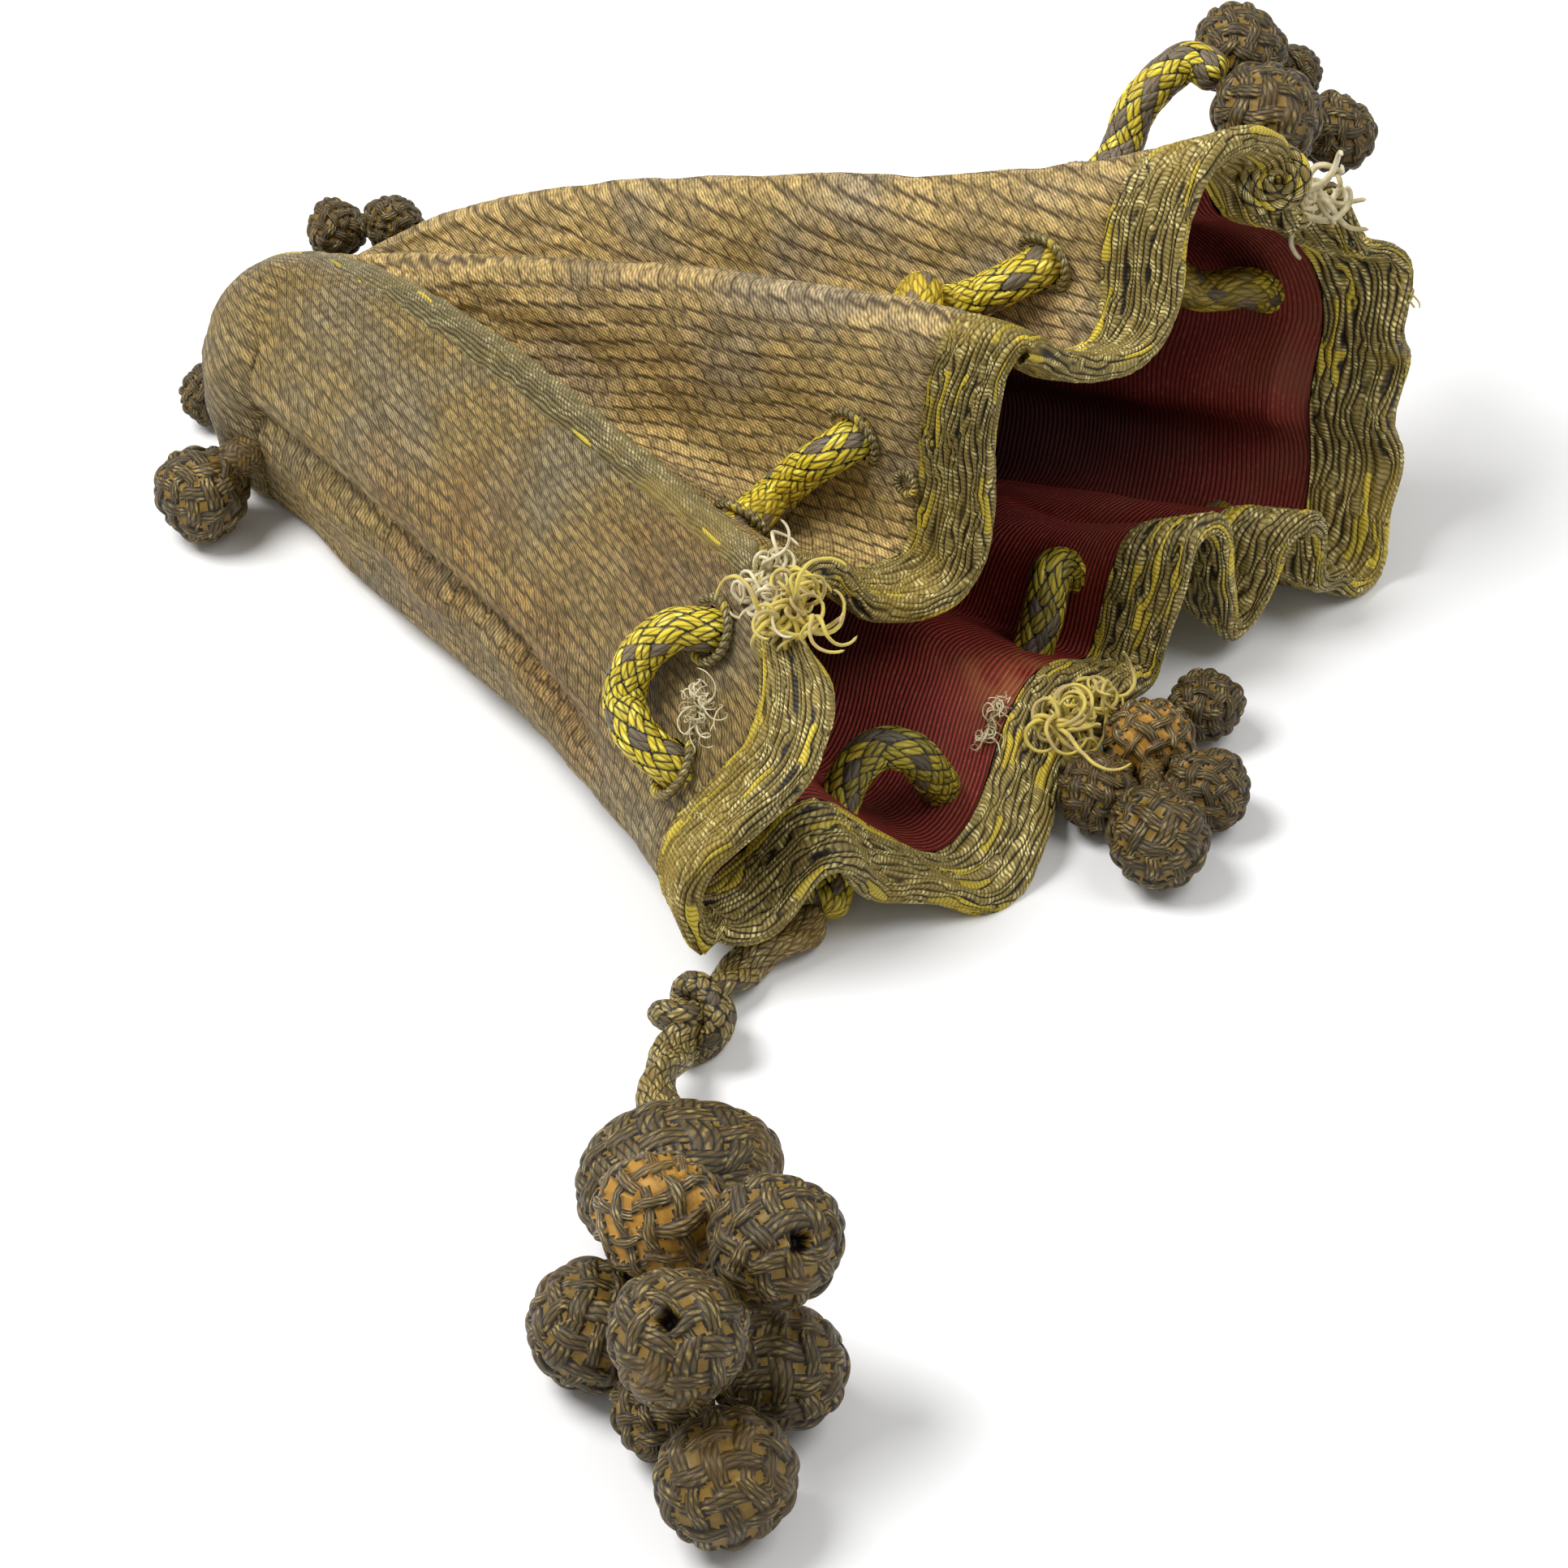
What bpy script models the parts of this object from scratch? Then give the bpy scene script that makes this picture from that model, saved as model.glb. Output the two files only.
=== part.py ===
"""Drawstring purse of metal-thread cloth with a ribbed silk lining, lying on its side.

Metres, +Z up. The bag runs from its closed base at -X to its open mouth at +X, and rests on
the plane Z = 0. The origin is on the flat stretch of cloth that it rests on. Places are
written in millimetres in the bag's layout frame, which has its zero under the middle of the
bag, and place() turns them into the part's frame.

The cloth, the lining, the rim trim and the seam braids all follow one surface. Ribs run along
it from the base to the rim; each has a hand-chosen rim point, base point and lifts.
"""
import bisect
import math

import bmesh
import bpy
import numpy as np
from mathutils import Matrix, Vector

MM = 0.001

# Driving dimensions, millimetres. The rest point is where the origin lies in the layout.
REST_X = -36.5
REST_Y = 6.45
CLOTH_THICKNESS = 1.2
LINING_THICKNESS = 0.8
LAYER_GAP = 0.3
SEAM_GAP = 0.6
TRIM_WIDTH = 8.0
RIB_LENGTH = 104.0
TRIM_THICKNESS = 1.5
BRAID_WIDTH = 9.0
CORD_DIAMETER = 4.5
CORD_END_GAP = 0.3
CORD_RIDE = 0.95
CORD_JOINT = 0.9
EYELET_CLEARANCE = 0.45
CAP_LENGTH = 7.5
BASE_TILT = 16.7
BASE_TIP = (-67.6, 4.0, 10.0)
TIP_FALL = 0.3
TIP_WIDTH_SHARE = 0.62
TIP_HEIGHT_SHARE = 0.03
CAP_FULLNESS = 0.5
KNOT_DIAMETER = 8.4

# Mesh fineness
RIM_SAMPLES = 420
SMOOTHING_PASSES = 14
CAP_ANGLES = (0.0, 16.0, 50.0)
BODY_STEPS = 7
TRIM_STEPS = 2
TRIM_COLUMNS = 96
PANEL_COLUMNS = {"panel_near": 27, "panel_back": 32, "panel_under": 33}
BRAID_COLUMNS = 3
CORD_STEP = 6.0
CORD_SIDES = 2
CUTTER_SIDES = 12
GRID_COLUMNS = 210
GRID_ROWS = 52
ROUTE_FINENESS = 12
BALL_SEGMENTS = 12
BALL_RINGS = 7

FLOOR = CLOTH_THICKNESS + LAYER_GAP / 2
CORD_RADIUS = CORD_DIAMETER / 2
ON_TABLE = CORD_RADIUS + 0.1

# Ribs in order round the mouth, from the near fold over the top to the far side and back
# underneath: name, rim point (x, y, z), base point (along the base, height), lift at one
# third and two thirds of the way to the rim, and sideways bulge at two thirds.
RIBS = (
    ("near fold", (28.5, -57.0, 7.0), (-17.0, 1.4), (0, 0), 10),
    ("near under", (26.5, -55.0, 13.0), (-18.8, 6.0), (0, 0), 8),
    ("near flank", (30.5, -51.0, 20.0), (-20.8, 13.0), (0, 0), 3),
    ("near crest", (34.5, -46.0, 26.5), (-21.0, 20.5), (0, 0), 0),
    ("near shoulder", (33.0, -41.5, 31.5), (-17.0, 24.5), (0, 1), -1),
    ("near top", (28.5, -37.5, 34.5), (-9.0, 26.5), (1, 1), 0),
    ("near seam", (24.5, -32.0, 34.5), (1.0, 20.0), (12, 3), 0),
    ("notch", (21.5, -25.0, 30.5), (3.0, 18.5), (5, -2), 0),
    ("valley slope", (23.5, -17.5, 24.5), (4.5, 17.5), (0, -5), 0),
    ("near valley", (26.5, -11.0, 20.0), (5.5, 16.7), (-2, -6), 0),
    ("middle foot", (30.5, -5.5, 20.5), (6.2, 16.2), (0, -3), 0),
    ("middle flank", (31.0, -3.0, 29.0), (7.0, 15.6), (2, 1), 0),
    ("middle upper flank", (30.3, -2.0, 38.0), (7.5, 15.0), (3.5, 3), 0),
    ("middle crest", (32.5, 1.0, 50.0), (8.9, 14.0), (4.5, 4), 0),
    ("middle back", (34.0, 7.5, 43.5), (10.2, 13.2), (4, 3), 0),
    ("far valley", (36.0, 13.5, 38.0), (11.0, 12.5), (2, -3), 0),
    ("back foot", (39.5, 19.5, 37.0), (12.0, 11.8), (4, -2), 0),
    ("back flank", (40.0, 24.0, 42.5), (13.0, 11.0), (8, 1), 0),
    ("back upper flank", (39.0, 26.5, 51.5), (14.0, 10.3), (12, -2), 0),
    ("back crest", (41.0, 32.0, 59.0), (15.0, 9.5), (17, -9), 0),
    ("curl top", (44.0, 37.0, 55.5), (15.8, 9.0), (15, -9), 2),
    ("curl", (45.5, 40.5, 46.0), (16.6, 8.4), (10, 0), 3),
    ("far seam", (47.5, 45.5, 43.0), (17.4, 7.6), (8, 0), 4),
    ("far curl", (51.5, 50.0, 38.5), (18.0, 6.8), (5, 0), 4),
    ("far point", (56.0, 49.5, 30.5), (18.6, 6.0), (3, 0), 4),
    ("far side", (56.0, 47.0, 20.0), (19.0, 5.0), (0, 0), 3),
    ("far low", (58.0, 44.5, 11.0), (19.0, 3.6), (-2, 0), 2),
    ("far foot", (60.0, 38.5, 4.0), (18.5, 2.0), (-3, 0), 0),
    ("low right", (58.0, 33.0, 1.6), (16.0, 1.4), (-3, -1), 0),
    ("fourth ridge side", (57.2, 30.4, 8.0), (13.4, 1.4), (-5, 1), 0),
    ("fourth ridge", (56.2, 27.6, 16.0), (12.0, 1.4), (-8, -6), 0),
    ("fourth ridge back", (54.6, 24.8, 16.0), (10.6, 1.4), (-8, -6), 0),
    ("fourth ridge foot", (53.0, 22.4, 7.0), (9.4, 1.4), (-5, 8), 0),
    ("third dip", (51.8, 20.2, 3.0), (8.4, 1.4), (-4, 18), 0),
    ("third ridge side", (51.4, 18.4, 10.0), (7.4, 1.4), (-5, 5), 0),
    ("third ridge", (50.4, 16.2, 20.5), (6.2, 1.4), (-9, -9), 0),
    ("third ridge back", (48.8, 13.0, 20.5), (4.8, 1.4), (-9, -9), 0),
    ("third ridge foot", (47.6, 10.6, 10.0), (3.4, 1.4), (-5, -5), 0),
    ("second dip", (47.4, 7.4, 3.0), (1.8, 1.4), (-3, -3), 0),
    ("low swell", (46.8, 2.0, 5.5), (-1.0, 1.4), (-5, 4), 0),
    ("low seam", (45.8, -5.5, 7.0), (-4.0, 1.4), (-6, 12), 0),
    ("low swell end", (46.5, -13.5, 4.0), (-7.0, 1.4), (-6, 16), 0),
    ("front lobe", (49.0, -24.0, 2.0), (-10.0, 1.4), (-5, 8), 0),
    ("front tip", (47.5, -31.0, 1.6), (-11.5, 1.4), (-6, 2), 0),
    ("first ridge foot", (42.5, -35.5, 3.2), (-12.6, 1.4), (-10, 16), 2),
    ("first ridge side", (39.8, -40.0, 9.0), (-13.4, 1.4), (-11, 18), 3),
    ("first ridge", (37.3, -44.3, 14.0), (-14.2, 1.4), (-12, 17), 4),
    ("first ridge back", (33.8, -47.2, 11.0), (-15.0, 1.4), (-8, 8), 6),
    ("near tuck", (31.0, -52.0, 7.2), (-16.0, 1.4), (-3, 0), 9),
)
SEAMS = {"near": "near seam", "far": "far seam", "low": "low seam"}

# Heights of a cord's middle lying on the cloth, and inside on the lining
OVER = LAYER_GAP / 2 + CLOTH_THICKNESS + CORD_RIDE + CORD_RADIUS
UNDER = -(LAYER_GAP / 2 + LINING_THICKNESS + CORD_RIDE + CORD_RADIUS)

# Cord routes. An entry is a layout point, or a place on the sewn surface: rib, step along the
# rim from it, distance behind the rim, and height of the cord's middle over it.
DRAWSTRING = (
    (34.2, -42.2, ON_TABLE), (33.4, -38.6, 3.8), (31.2, -35.0, 7.4), (31.2, -31.4, 12.2),
    (32.8, -28.2, 14.4), (35.6, -26.0, 13.5), (36.8, -23.2, 8.6), (36.0, -18.6, 3.1),
    (34.8, -10.0, 2.9), (34.8, -2.6, 3.0), (35.0, 1.8, 5.0), (35.2, 5.0, 10.0),
    (34.6, 8.0, 13.6), (35.4, 12.0, 10.6),
    (36.6, 15.8, 6.2), (38.4, 20.0, 2.9), (41.0, 24.4, 2.9), (43.4, 28.6, 3.6), ("low right", 0, 13, UNDER),
    ("far foot", 1, 14, 0), ("far low", 1, 14, OVER), ("far side", 0, 13, OVER),
    ("far point", 3, 13, OVER), ("far point", -4, 13, UNDER - 1), ("far seam", 0, 14, UNDER - 4),
    ("back upper flank", 2, 15, UNDER), ("back flank", 3, 16, OVER), ("back flank", -2, 22, OVER),
    ("back foot", -3, 26, OVER), ("middle back", 2, 21, OVER), (18.0, 4.5, 35.5),
    ("middle flank", 4, 17, OVER),
    ("middle foot", 0, 22, OVER + 1.5), ("near valley", 0, 23, OVER + 0.5), ("notch", 2, 18, UNDER),
    ("near top", 5, 18, UNDER), ("near top", 0, 19, OVER), ("near shoulder", -2, 26, OVER),
    ("near crest", -2, 26, OVER), ("near flank", 4, 18, OVER), ("near flank", -1, 15, UNDER - 2),
)
FAR_DRAWSTRING = (
    ("back upper flank", 3, 24, UNDER - 1.5), ("back crest", 2, 22, UNDER), ("curl", 0, 20, OVER),
    (23.5, 47.0, 48.0), (26.5, 52.5, 51.5), (31.0, 52.6, 50.5),
)
TAIL = (
    (37.7, -81.3, 8.1), (34.6, -76.2, 6.9), (32.4, -69.6, 4.9), (31.4, -64.0, 4.4),
    (30.6, -58.0, 2.8), (31.2, -52.0, ON_TABLE), (33.0, -46.8, ON_TABLE), (34.2, -42.2, ON_TABLE),
)
KNOT_POINT = 3
# The bound ends of the cord between the near head and its balls
NEAR_CORE = ((49.7, -93.7, 8.4), (52.2, -98.6, 8.8), (54.9, -103.4, 9.2))

# Balls: centre and diameter
BALLS = {
    "near_head": ((43.6, -87.4, 8.15), 21.2),
    "near_ball_left": ((45.8, -107.4, 6.8), 13.2),
    "near_ball_right": ((64.0, -102.9, 6.8), 13.2),
    "near_ball_end": ((66.8, -117.7, 7.0), 13.6),
    "near_ball_low": ((56.4, -112.0, 5.2), 10.0),
    "near_ball_high": ((62.8, -101.5, 22.2), 13.4),
    "near_ball_amber": ((49.7, -100.7, 17.9), 13.4),
    "near_ball_middle": ((60.1, -114.9, 20.2), 13.6),
    "right_head": ((52.5, -3.2, 5.1), 10.0),
    "right_ball_front": ((60.7, -16.9, 5.8), 11.4),
    "right_ball_side": ((61.4, -6.5, 4.7), 9.2),
    "right_ball_left": ((51.4, -12.6, 4.5), 8.8),
    "right_ball_back": ((54.9, 5.9, 4.4), 8.6),
    "far_body": ((37.1, 51.1, 48.5), 12.8),
    "far_ball_top": ((29.2, 60.2, 49.4), 10.6),
    "far_ball_right": ((40.2, 63.3, 40.2), 9.2),
    "far_ball_back": ((33.0, 66.6, 43.6), 7.2),
    "base_ball_near": ((-59.9, -19.6, 5.7), 11.2),
    "base_ball_small": ((-70.6, -2.4, 4.1), 7.2),
    "base_ball_far": ((-64.9, 28.3, 11.2), 7.4),
    "base_ball_end": ((-71.9, 26.3, 9.2), 7.4),
}
# The near head is a bead flattened along its cord and in height
HEAD_FLATNESS = 0.755
HEAD_TURN = -46.0

FINISHES = {
    "cloth": ((0.42, 0.33, 0.17), 0.75, 0.3),
    "trim": ((0.30, 0.25, 0.12), 0.55, 0.5),
    "lining": ((0.40, 0.08, 0.06), 0.8, 0.0),
    "cord": ((0.45, 0.34, 0.06), 0.6, 0.2),
    "ball": ((0.27, 0.20, 0.10), 0.5, 0.5),
}


def place(point):
    """Turn a layout point in millimetres into the part's frame in metres."""
    return Vector(((point[0] - REST_X) * MM, (point[1] - REST_Y) * MM, point[2] * MM))


def hermite_ring(values, knots, samples):
    """Read a smooth closed curve through values, whose places along it are knots."""
    count = len(values)
    total = knots[-1]
    slopes = []
    for i in range(count):
        before = values[i - 1]
        after = values[(i + 1) % count]
        gap = (knots[i + 1] - knots[i]) + (knots[i] - knots[i - 1] if i else total - knots[count - 1])
        slopes.append((after - before) / gap)
    ring = []
    for k in range(samples):
        place_on = total * k / samples
        i = min(bisect.bisect_right(knots, place_on) - 1, count - 1)
        width = knots[i + 1] - knots[i]
        t = (place_on - knots[i]) / width
        a, b = values[i], values[(i + 1) % count]
        ring.append((2 * t**3 - 3 * t**2 + 1) * a + (t**3 - 2 * t**2 + t) * width * slopes[i]
                    + (3 * t**2 - 2 * t**3) * b + (t**3 - t**2) * width * slopes[(i + 1) % count])
    return np.array(ring)


class Surface:
    """The sewn surface between cloth and lining, and places measured on it."""

    def __init__(self):
        fields = np.array([list(rim) + list(base) + list(lift) + [side]
                           for name, rim, base, lift, side in RIBS], dtype=float)
        rims = fields[:, :3]
        steps = np.linalg.norm(np.roll(rims, -1, axis=0) - rims, axis=1)
        knots = [0.0]
        for step in steps:
            knots.append(knots[-1] + step)
        ring = hermite_ring(fields, knots, RIM_SAMPLES)
        for _ in range(SMOOTHING_PASSES):
            ring = 0.25 * np.roll(ring, 1, axis=0) + 0.5 * ring + 0.25 * np.roll(ring, -1, axis=0)
        self.ring = ring
        self.perimeter = knots[-1]
        self.rib_at = {}
        for k, rib in enumerate(RIBS):
            self.rib_at[rib[0]] = knots[k] / knots[-1]
        tilt = math.radians(BASE_TILT)
        self.along = np.array([-math.sin(tilt), math.cos(tilt), 0.0])
        self.inward = np.array([math.cos(tilt), math.sin(tilt), 0.0])

    def fields(self, u):
        """All rib values at a share u of the way round the rim."""
        x = (u % 1.0) * RIM_SAMPLES
        k = int(x) % RIM_SAMPLES
        f = x - int(x)
        return (1 - f) * self.ring[k] + f * self.ring[(k + 1) % RIM_SAMPLES]

    def base_point(self, along, height, depth):
        """A point of the base end, depth being its distance in from the tip."""
        point = np.array(BASE_TIP) + self.along * along + self.inward * depth
        point[2] = height
        return point

    def at(self, u, row):
        """A point of the surface: row -1 is the base tip, 0 the base ring and 1 the rim."""
        rim_x, rim_y, rim_z, along, height, lift_a, lift_b, side = self.fields(u)
        if row < 0:
            angle = (1 + row) * math.pi / 2
            swell = math.sin(angle) ** CAP_FULLNESS
            width = TIP_WIDTH_SHARE + (1 - TIP_WIDTH_SHARE) * swell
            rise = TIP_HEIGHT_SHARE + (1 - TIP_HEIGHT_SHARE) * swell
            tip_height = BASE_TIP[2] - TIP_FALL * along
            return self.base_point(along * width, tip_height + (height - tip_height) * rise,
                                   CAP_LENGTH * (1 - math.cos(angle)))
        start = self.base_point(along, height, CAP_LENGTH)
        rim = np.array([rim_x, rim_y, rim_z])
        first = start + (rim - start) / 3 + np.array([0.0, 0.0, lift_a])
        second = start + (rim - start) * 2 / 3 + np.array([0.0, side, lift_b])
        v, w = row, 1 - row
        point = w**3 * start + 3 * w * w * v * first + 3 * w * v * v * second + v**3 * rim
        point[2] = max(point[2], FLOOR)
        return point

    def normal(self, u, row):
        """The outward direction of the surface."""
        du = 0.75 / RIM_SAMPLES
        dv = 0.01
        low = max(row - dv, -1.0)
        high = min(row + dv, 1.0)
        around = self.at(u + du, row) - self.at(u - du, row)
        along = self.at(u, high) - self.at(u, low)
        direction = np.cross(along, around)
        return direction / np.linalg.norm(direction)

    def offset(self, u, row, height):
        """A point at a height over the surface, outwards positive."""
        return self.at(u, row) + self.normal(u, row) * height

    def step_round(self, u, row, distance):
        """The share round the rim that lies a distance along the given row."""
        du = math.copysign(1 / RIM_SAMPLES, distance)
        last = self.at(u, row)
        walked = 0.0
        while walked < abs(distance):
            u += du
            point = self.at(u, row)
            step = float(np.linalg.norm(point - last))
            walked += step
            last = point
        return u - du * (walked - abs(distance)) / step


SURFACE = Surface()
TRIM_ROW = 1.0 - TRIM_WIDTH / RIB_LENGTH
CLOTH_END = TRIM_ROW - SEAM_GAP / RIB_LENGTH
BODY_ROWS = [-1.0 + angle / 90.0 for angle in CAP_ANGLES]
BODY_ROWS += [CLOTH_END * k / BODY_STEPS for k in range(BODY_STEPS + 1)]
TRIM_ROWS = [TRIM_ROW + (1.0 - TRIM_ROW) * k / TRIM_STEPS for k in range(TRIM_STEPS + 1)]


def material(name, finish):
    """A plain material in the sub-part's own colour."""
    colour, roughness, metallic = FINISHES[finish]
    made = bpy.data.materials.new(name)
    made.use_nodes = True
    shader = made.node_tree.nodes["Principled BSDF"]
    shader.inputs["Base Color"].default_value = (*colour, 1.0)
    shader.inputs["Roughness"].default_value = roughness
    shader.inputs["Metallic"].default_value = metallic
    return made


def add_object(name, data, finish):
    """Link a new object with its own material."""
    made = bpy.data.objects.new(name, data)
    bpy.context.scene.collection.objects.link(made)
    data.materials.append(material(name, finish))
    return made


def add_sheet(name, columns, finish, height, thickness, closed=False):
    """A sheet through columns of surface places, from a height over the surface.

    A positive thickness goes outwards from there and a negative one inwards.
    """
    mesh = bpy.data.meshes.new(name)
    bm = bmesh.new()
    lines = []
    for column in columns:
        lines.append([bm.verts.new(place(SURFACE.offset(u, row, height))) for u, row in column])
    pairs = list(zip(lines, lines[1:]))
    if closed:
        pairs.append((lines[-1], lines[0]))
    for left, right in pairs:
        for a, b, c, d in zip(left, left[1:], right[1:], right):
            bm.faces.new((a, b, c, d))
    bm.to_mesh(mesh)
    bm.free()
    mesh.shade_smooth()
    made = add_object(name, mesh, finish)
    shell = made.modifiers.new("Thickness", "SOLIDIFY")
    shell.thickness = abs(thickness) * MM
    shell.offset = math.copysign(1.0, thickness)
    return made


def seam_edge(seam, distance):
    """The shares round the rim at a distance to one side of a seam, for every body row."""
    u = SURFACE.rib_at[SEAMS[seam]]
    return [SURFACE.step_round(u, row, distance) for row in BODY_ROWS]


def columns_between(left, right, count):
    """Columns of surface places spread evenly between two seam edges."""
    columns = []
    for k in range(count):
        share = k / (count - 1)
        column = []
        for row, start, end in zip(BODY_ROWS, left, right):
            if end < start:
                end += 1.0
            column.append(((start + (end - start) * share) % 1.0, row))
        columns.append(column)
    return columns


def add_bag():
    """Outer panels, seam braids, lining and rim trim."""
    edge = BRAID_WIDTH / 2
    order = (("near", "panel_back"), ("far", "panel_under"), ("low", "panel_near"))
    lining_columns = []
    cloth = []
    for k, (seam, panel) in enumerate(order):
        following = order[(k + 1) % len(order)][0]
        braid = columns_between(seam_edge(seam, -edge), seam_edge(seam, edge), BRAID_COLUMNS)
        sheet = columns_between(seam_edge(seam, edge + SEAM_GAP),
                                seam_edge(following, -edge - SEAM_GAP), PANEL_COLUMNS[panel])
        cloth.append(add_sheet(f"seam_braid_{seam}", braid, "trim", LAYER_GAP / 2, CLOTH_THICKNESS))
        cloth.append(add_sheet(panel, sheet, "cloth", LAYER_GAP / 2, CLOTH_THICKNESS))
        lining_columns += [column[2:] for column in braid + sheet]
    cloth.append(add_sheet("lining", lining_columns, "lining", -LAYER_GAP / 2, -LINING_THICKNESS,
                           closed=True))
    rim = [[((k / TRIM_COLUMNS) % 1.0, row) for row in TRIM_ROWS] for k in range(TRIM_COLUMNS)]
    trim = add_sheet("rim_trim", rim, "trim", -TRIM_THICKNESS / 2, TRIM_THICKNESS, closed=True)
    return cloth, trim


def route_point(entry):
    """A route entry as a layout point: either a point, or a place measured on the surface."""
    if len(entry) == 3:
        return np.array(entry, dtype=float)
    rib, step, behind, height = entry
    u = SURFACE.rib_at[rib] + step / SURFACE.perimeter
    return SURFACE.offset(u % 1.0, 1.0 - behind / RIB_LENGTH, height)


def smooth_route(entries, step):
    """Evenly spaced points on a smooth curve through a route's own points."""
    points = [Vector(route_point(entry)) for entry in entries]
    ends = [points[0] * 2 - points[1]] + points + [points[-1] * 2 - points[-2]]
    fine = []
    for a, b, c, d in zip(ends, ends[1:], ends[2:], ends[3:]):
        for k in range(ROUTE_FINENESS):
            t = k / ROUTE_FINENESS
            fine.append(0.5 * ((2 * b) + (c - a) * t + (2 * a - 5 * b + 4 * c - d) * t**2
                               + (3 * b - a - 3 * c + d) * t**3))
    fine.append(points[-1])
    lengths = [0.0]
    for a, b in zip(fine, fine[1:]):
        lengths.append(lengths[-1] + (b - a).length)
    count = max(2, round(lengths[-1] / step))
    line = []
    for k in range(count + 1):
        wanted = lengths[-1] * k / count
        i = min(bisect.bisect_right(lengths, wanted) - 1, len(fine) - 2)
        share = (wanted - lengths[i]) / (lengths[i + 1] - lengths[i])
        line.append(fine[i].lerp(fine[i + 1], share))
    return line


def add_tube(name, line, diameter, finish):
    """A round cord along a line of layout points."""
    curve = bpy.data.curves.new(name, "CURVE")
    curve.dimensions = "3D"
    curve.bevel_depth = diameter / 2 * MM
    curve.bevel_resolution = CORD_SIDES
    curve.use_fill_caps = True
    spline = curve.splines.new("POLY")
    spline.points.add(len(line) - 1)
    for target, point in zip(spline.points, line):
        target.co = (*place(point), 1.0)
    return add_object(name, curve, finish)


def add_cutter(name, line, diameter):
    """A tube that cuts a cord's way where it crosses a piece; it isn't part of the purse."""
    mesh = bpy.data.meshes.new(name)
    bm = bmesh.new()
    rings = []
    side = Vector((0.0, 0.0, 1.0))
    for k, point in enumerate(line):
        way = (line[min(k + 1, len(line) - 1)] - line[max(k - 1, 0)]).normalized()
        side = (side - way * side.dot(way)).normalized()
        across = way.cross(side)
        ring = []
        for corner in range(CUTTER_SIDES):
            angle = 2 * math.pi * corner / CUTTER_SIDES
            out = side * math.cos(angle) + across * math.sin(angle)
            ring.append(bm.verts.new(place(point + out * (diameter / 2))))
        rings.append(ring)
    for near, far in zip(rings, rings[1:]):
        for corner in range(CUTTER_SIDES):
            following = (corner + 1) % CUTTER_SIDES
            bm.faces.new((near[corner], near[following], far[following], far[corner]))
    bm.faces.new(rings[0][::-1])
    bm.faces.new(rings[-1])
    bm.to_mesh(mesh)
    bm.free()
    cutter = add_object(name, mesh, "cord")
    cutter.hide_render = True
    cutter.display_type = "WIRE"
    return cutter


def surface_grid():
    """Points of the surface and their outward normals, to tell its two sides apart."""
    points = []
    normals = []
    for k in range(GRID_COLUMNS):
        for step in range(GRID_ROWS + 1):
            u, row = k / GRID_COLUMNS, step / GRID_ROWS
            points.append(SURFACE.at(u, row))
            normals.append(SURFACE.normal(u, row))
    return np.array(points), np.array(normals)


def crossings(line, grid):
    """The stretches of a cord that pass through the layers, with a point more at each end."""
    points, normals = grid
    line = line + [line[-1] * 2 - line[-2]]
    heights = []
    for spot in line:
        away = np.array(spot) - points
        nearest = int(np.argmin((away**2).sum(axis=1)))
        heights.append(float(away[nearest] @ normals[nearest]))
    through = [UNDER + CORD_RIDE / 2 < height < OVER - CORD_RIDE / 2 for height in heights]
    for k in range(len(line) - 1):
        if heights[k] * heights[k + 1] < 0:
            through[k] = through[k + 1] = True
    stretches = []
    for k in range(1, len(line) - 1):
        if through[k] and not through[k - 1]:
            stretches.append([line[k - 1]])
        if through[k] and stretches:
            stretches[-1].append(line[k])
            if not through[k + 1]:
                stretches[-1].append(line[k + 1])
    return stretches


def cut(target, cutter):
    """Cut a cord's way through a piece."""
    way = target.modifiers.new("Eyelets", "BOOLEAN")
    way.operation = "DIFFERENCE"
    way.solver = "EXACT"
    way.object = cutter


def shorten(line, start, end):
    """A line with a little taken off each end."""
    line = list(line)
    line[0] = line[0] + (line[1] - line[0]).normalized() * start
    line[-1] = line[-1] + (line[-2] - line[-1]).normalized() * end
    return line


def add_ball(name, centre, diameter, finish="ball", flatness=1.0, turn=0.0):
    """One plaited ball, flattened in height and along the way it is turned to."""
    mesh = bpy.data.meshes.new(name)
    bm = bmesh.new()
    bmesh.ops.create_uvsphere(bm, u_segments=BALL_SEGMENTS, v_segments=BALL_RINGS,
                              radius=diameter / 2 * MM)
    bmesh.ops.scale(bm, vec=(flatness, 1.0, flatness), verts=bm.verts)
    bmesh.ops.rotate(bm, matrix=Matrix.Rotation(math.radians(turn), 3, "Z"), verts=bm.verts)
    bmesh.ops.translate(bm, vec=place(centre), verts=bm.verts)
    bm.to_mesh(mesh)
    bm.free()
    mesh.shade_smooth()
    return add_object(name, mesh, finish)


def clear_scene():
    """Start from an empty scene."""
    for item in list(bpy.data.objects):
        bpy.data.objects.remove(item, do_unlink=True)


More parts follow.
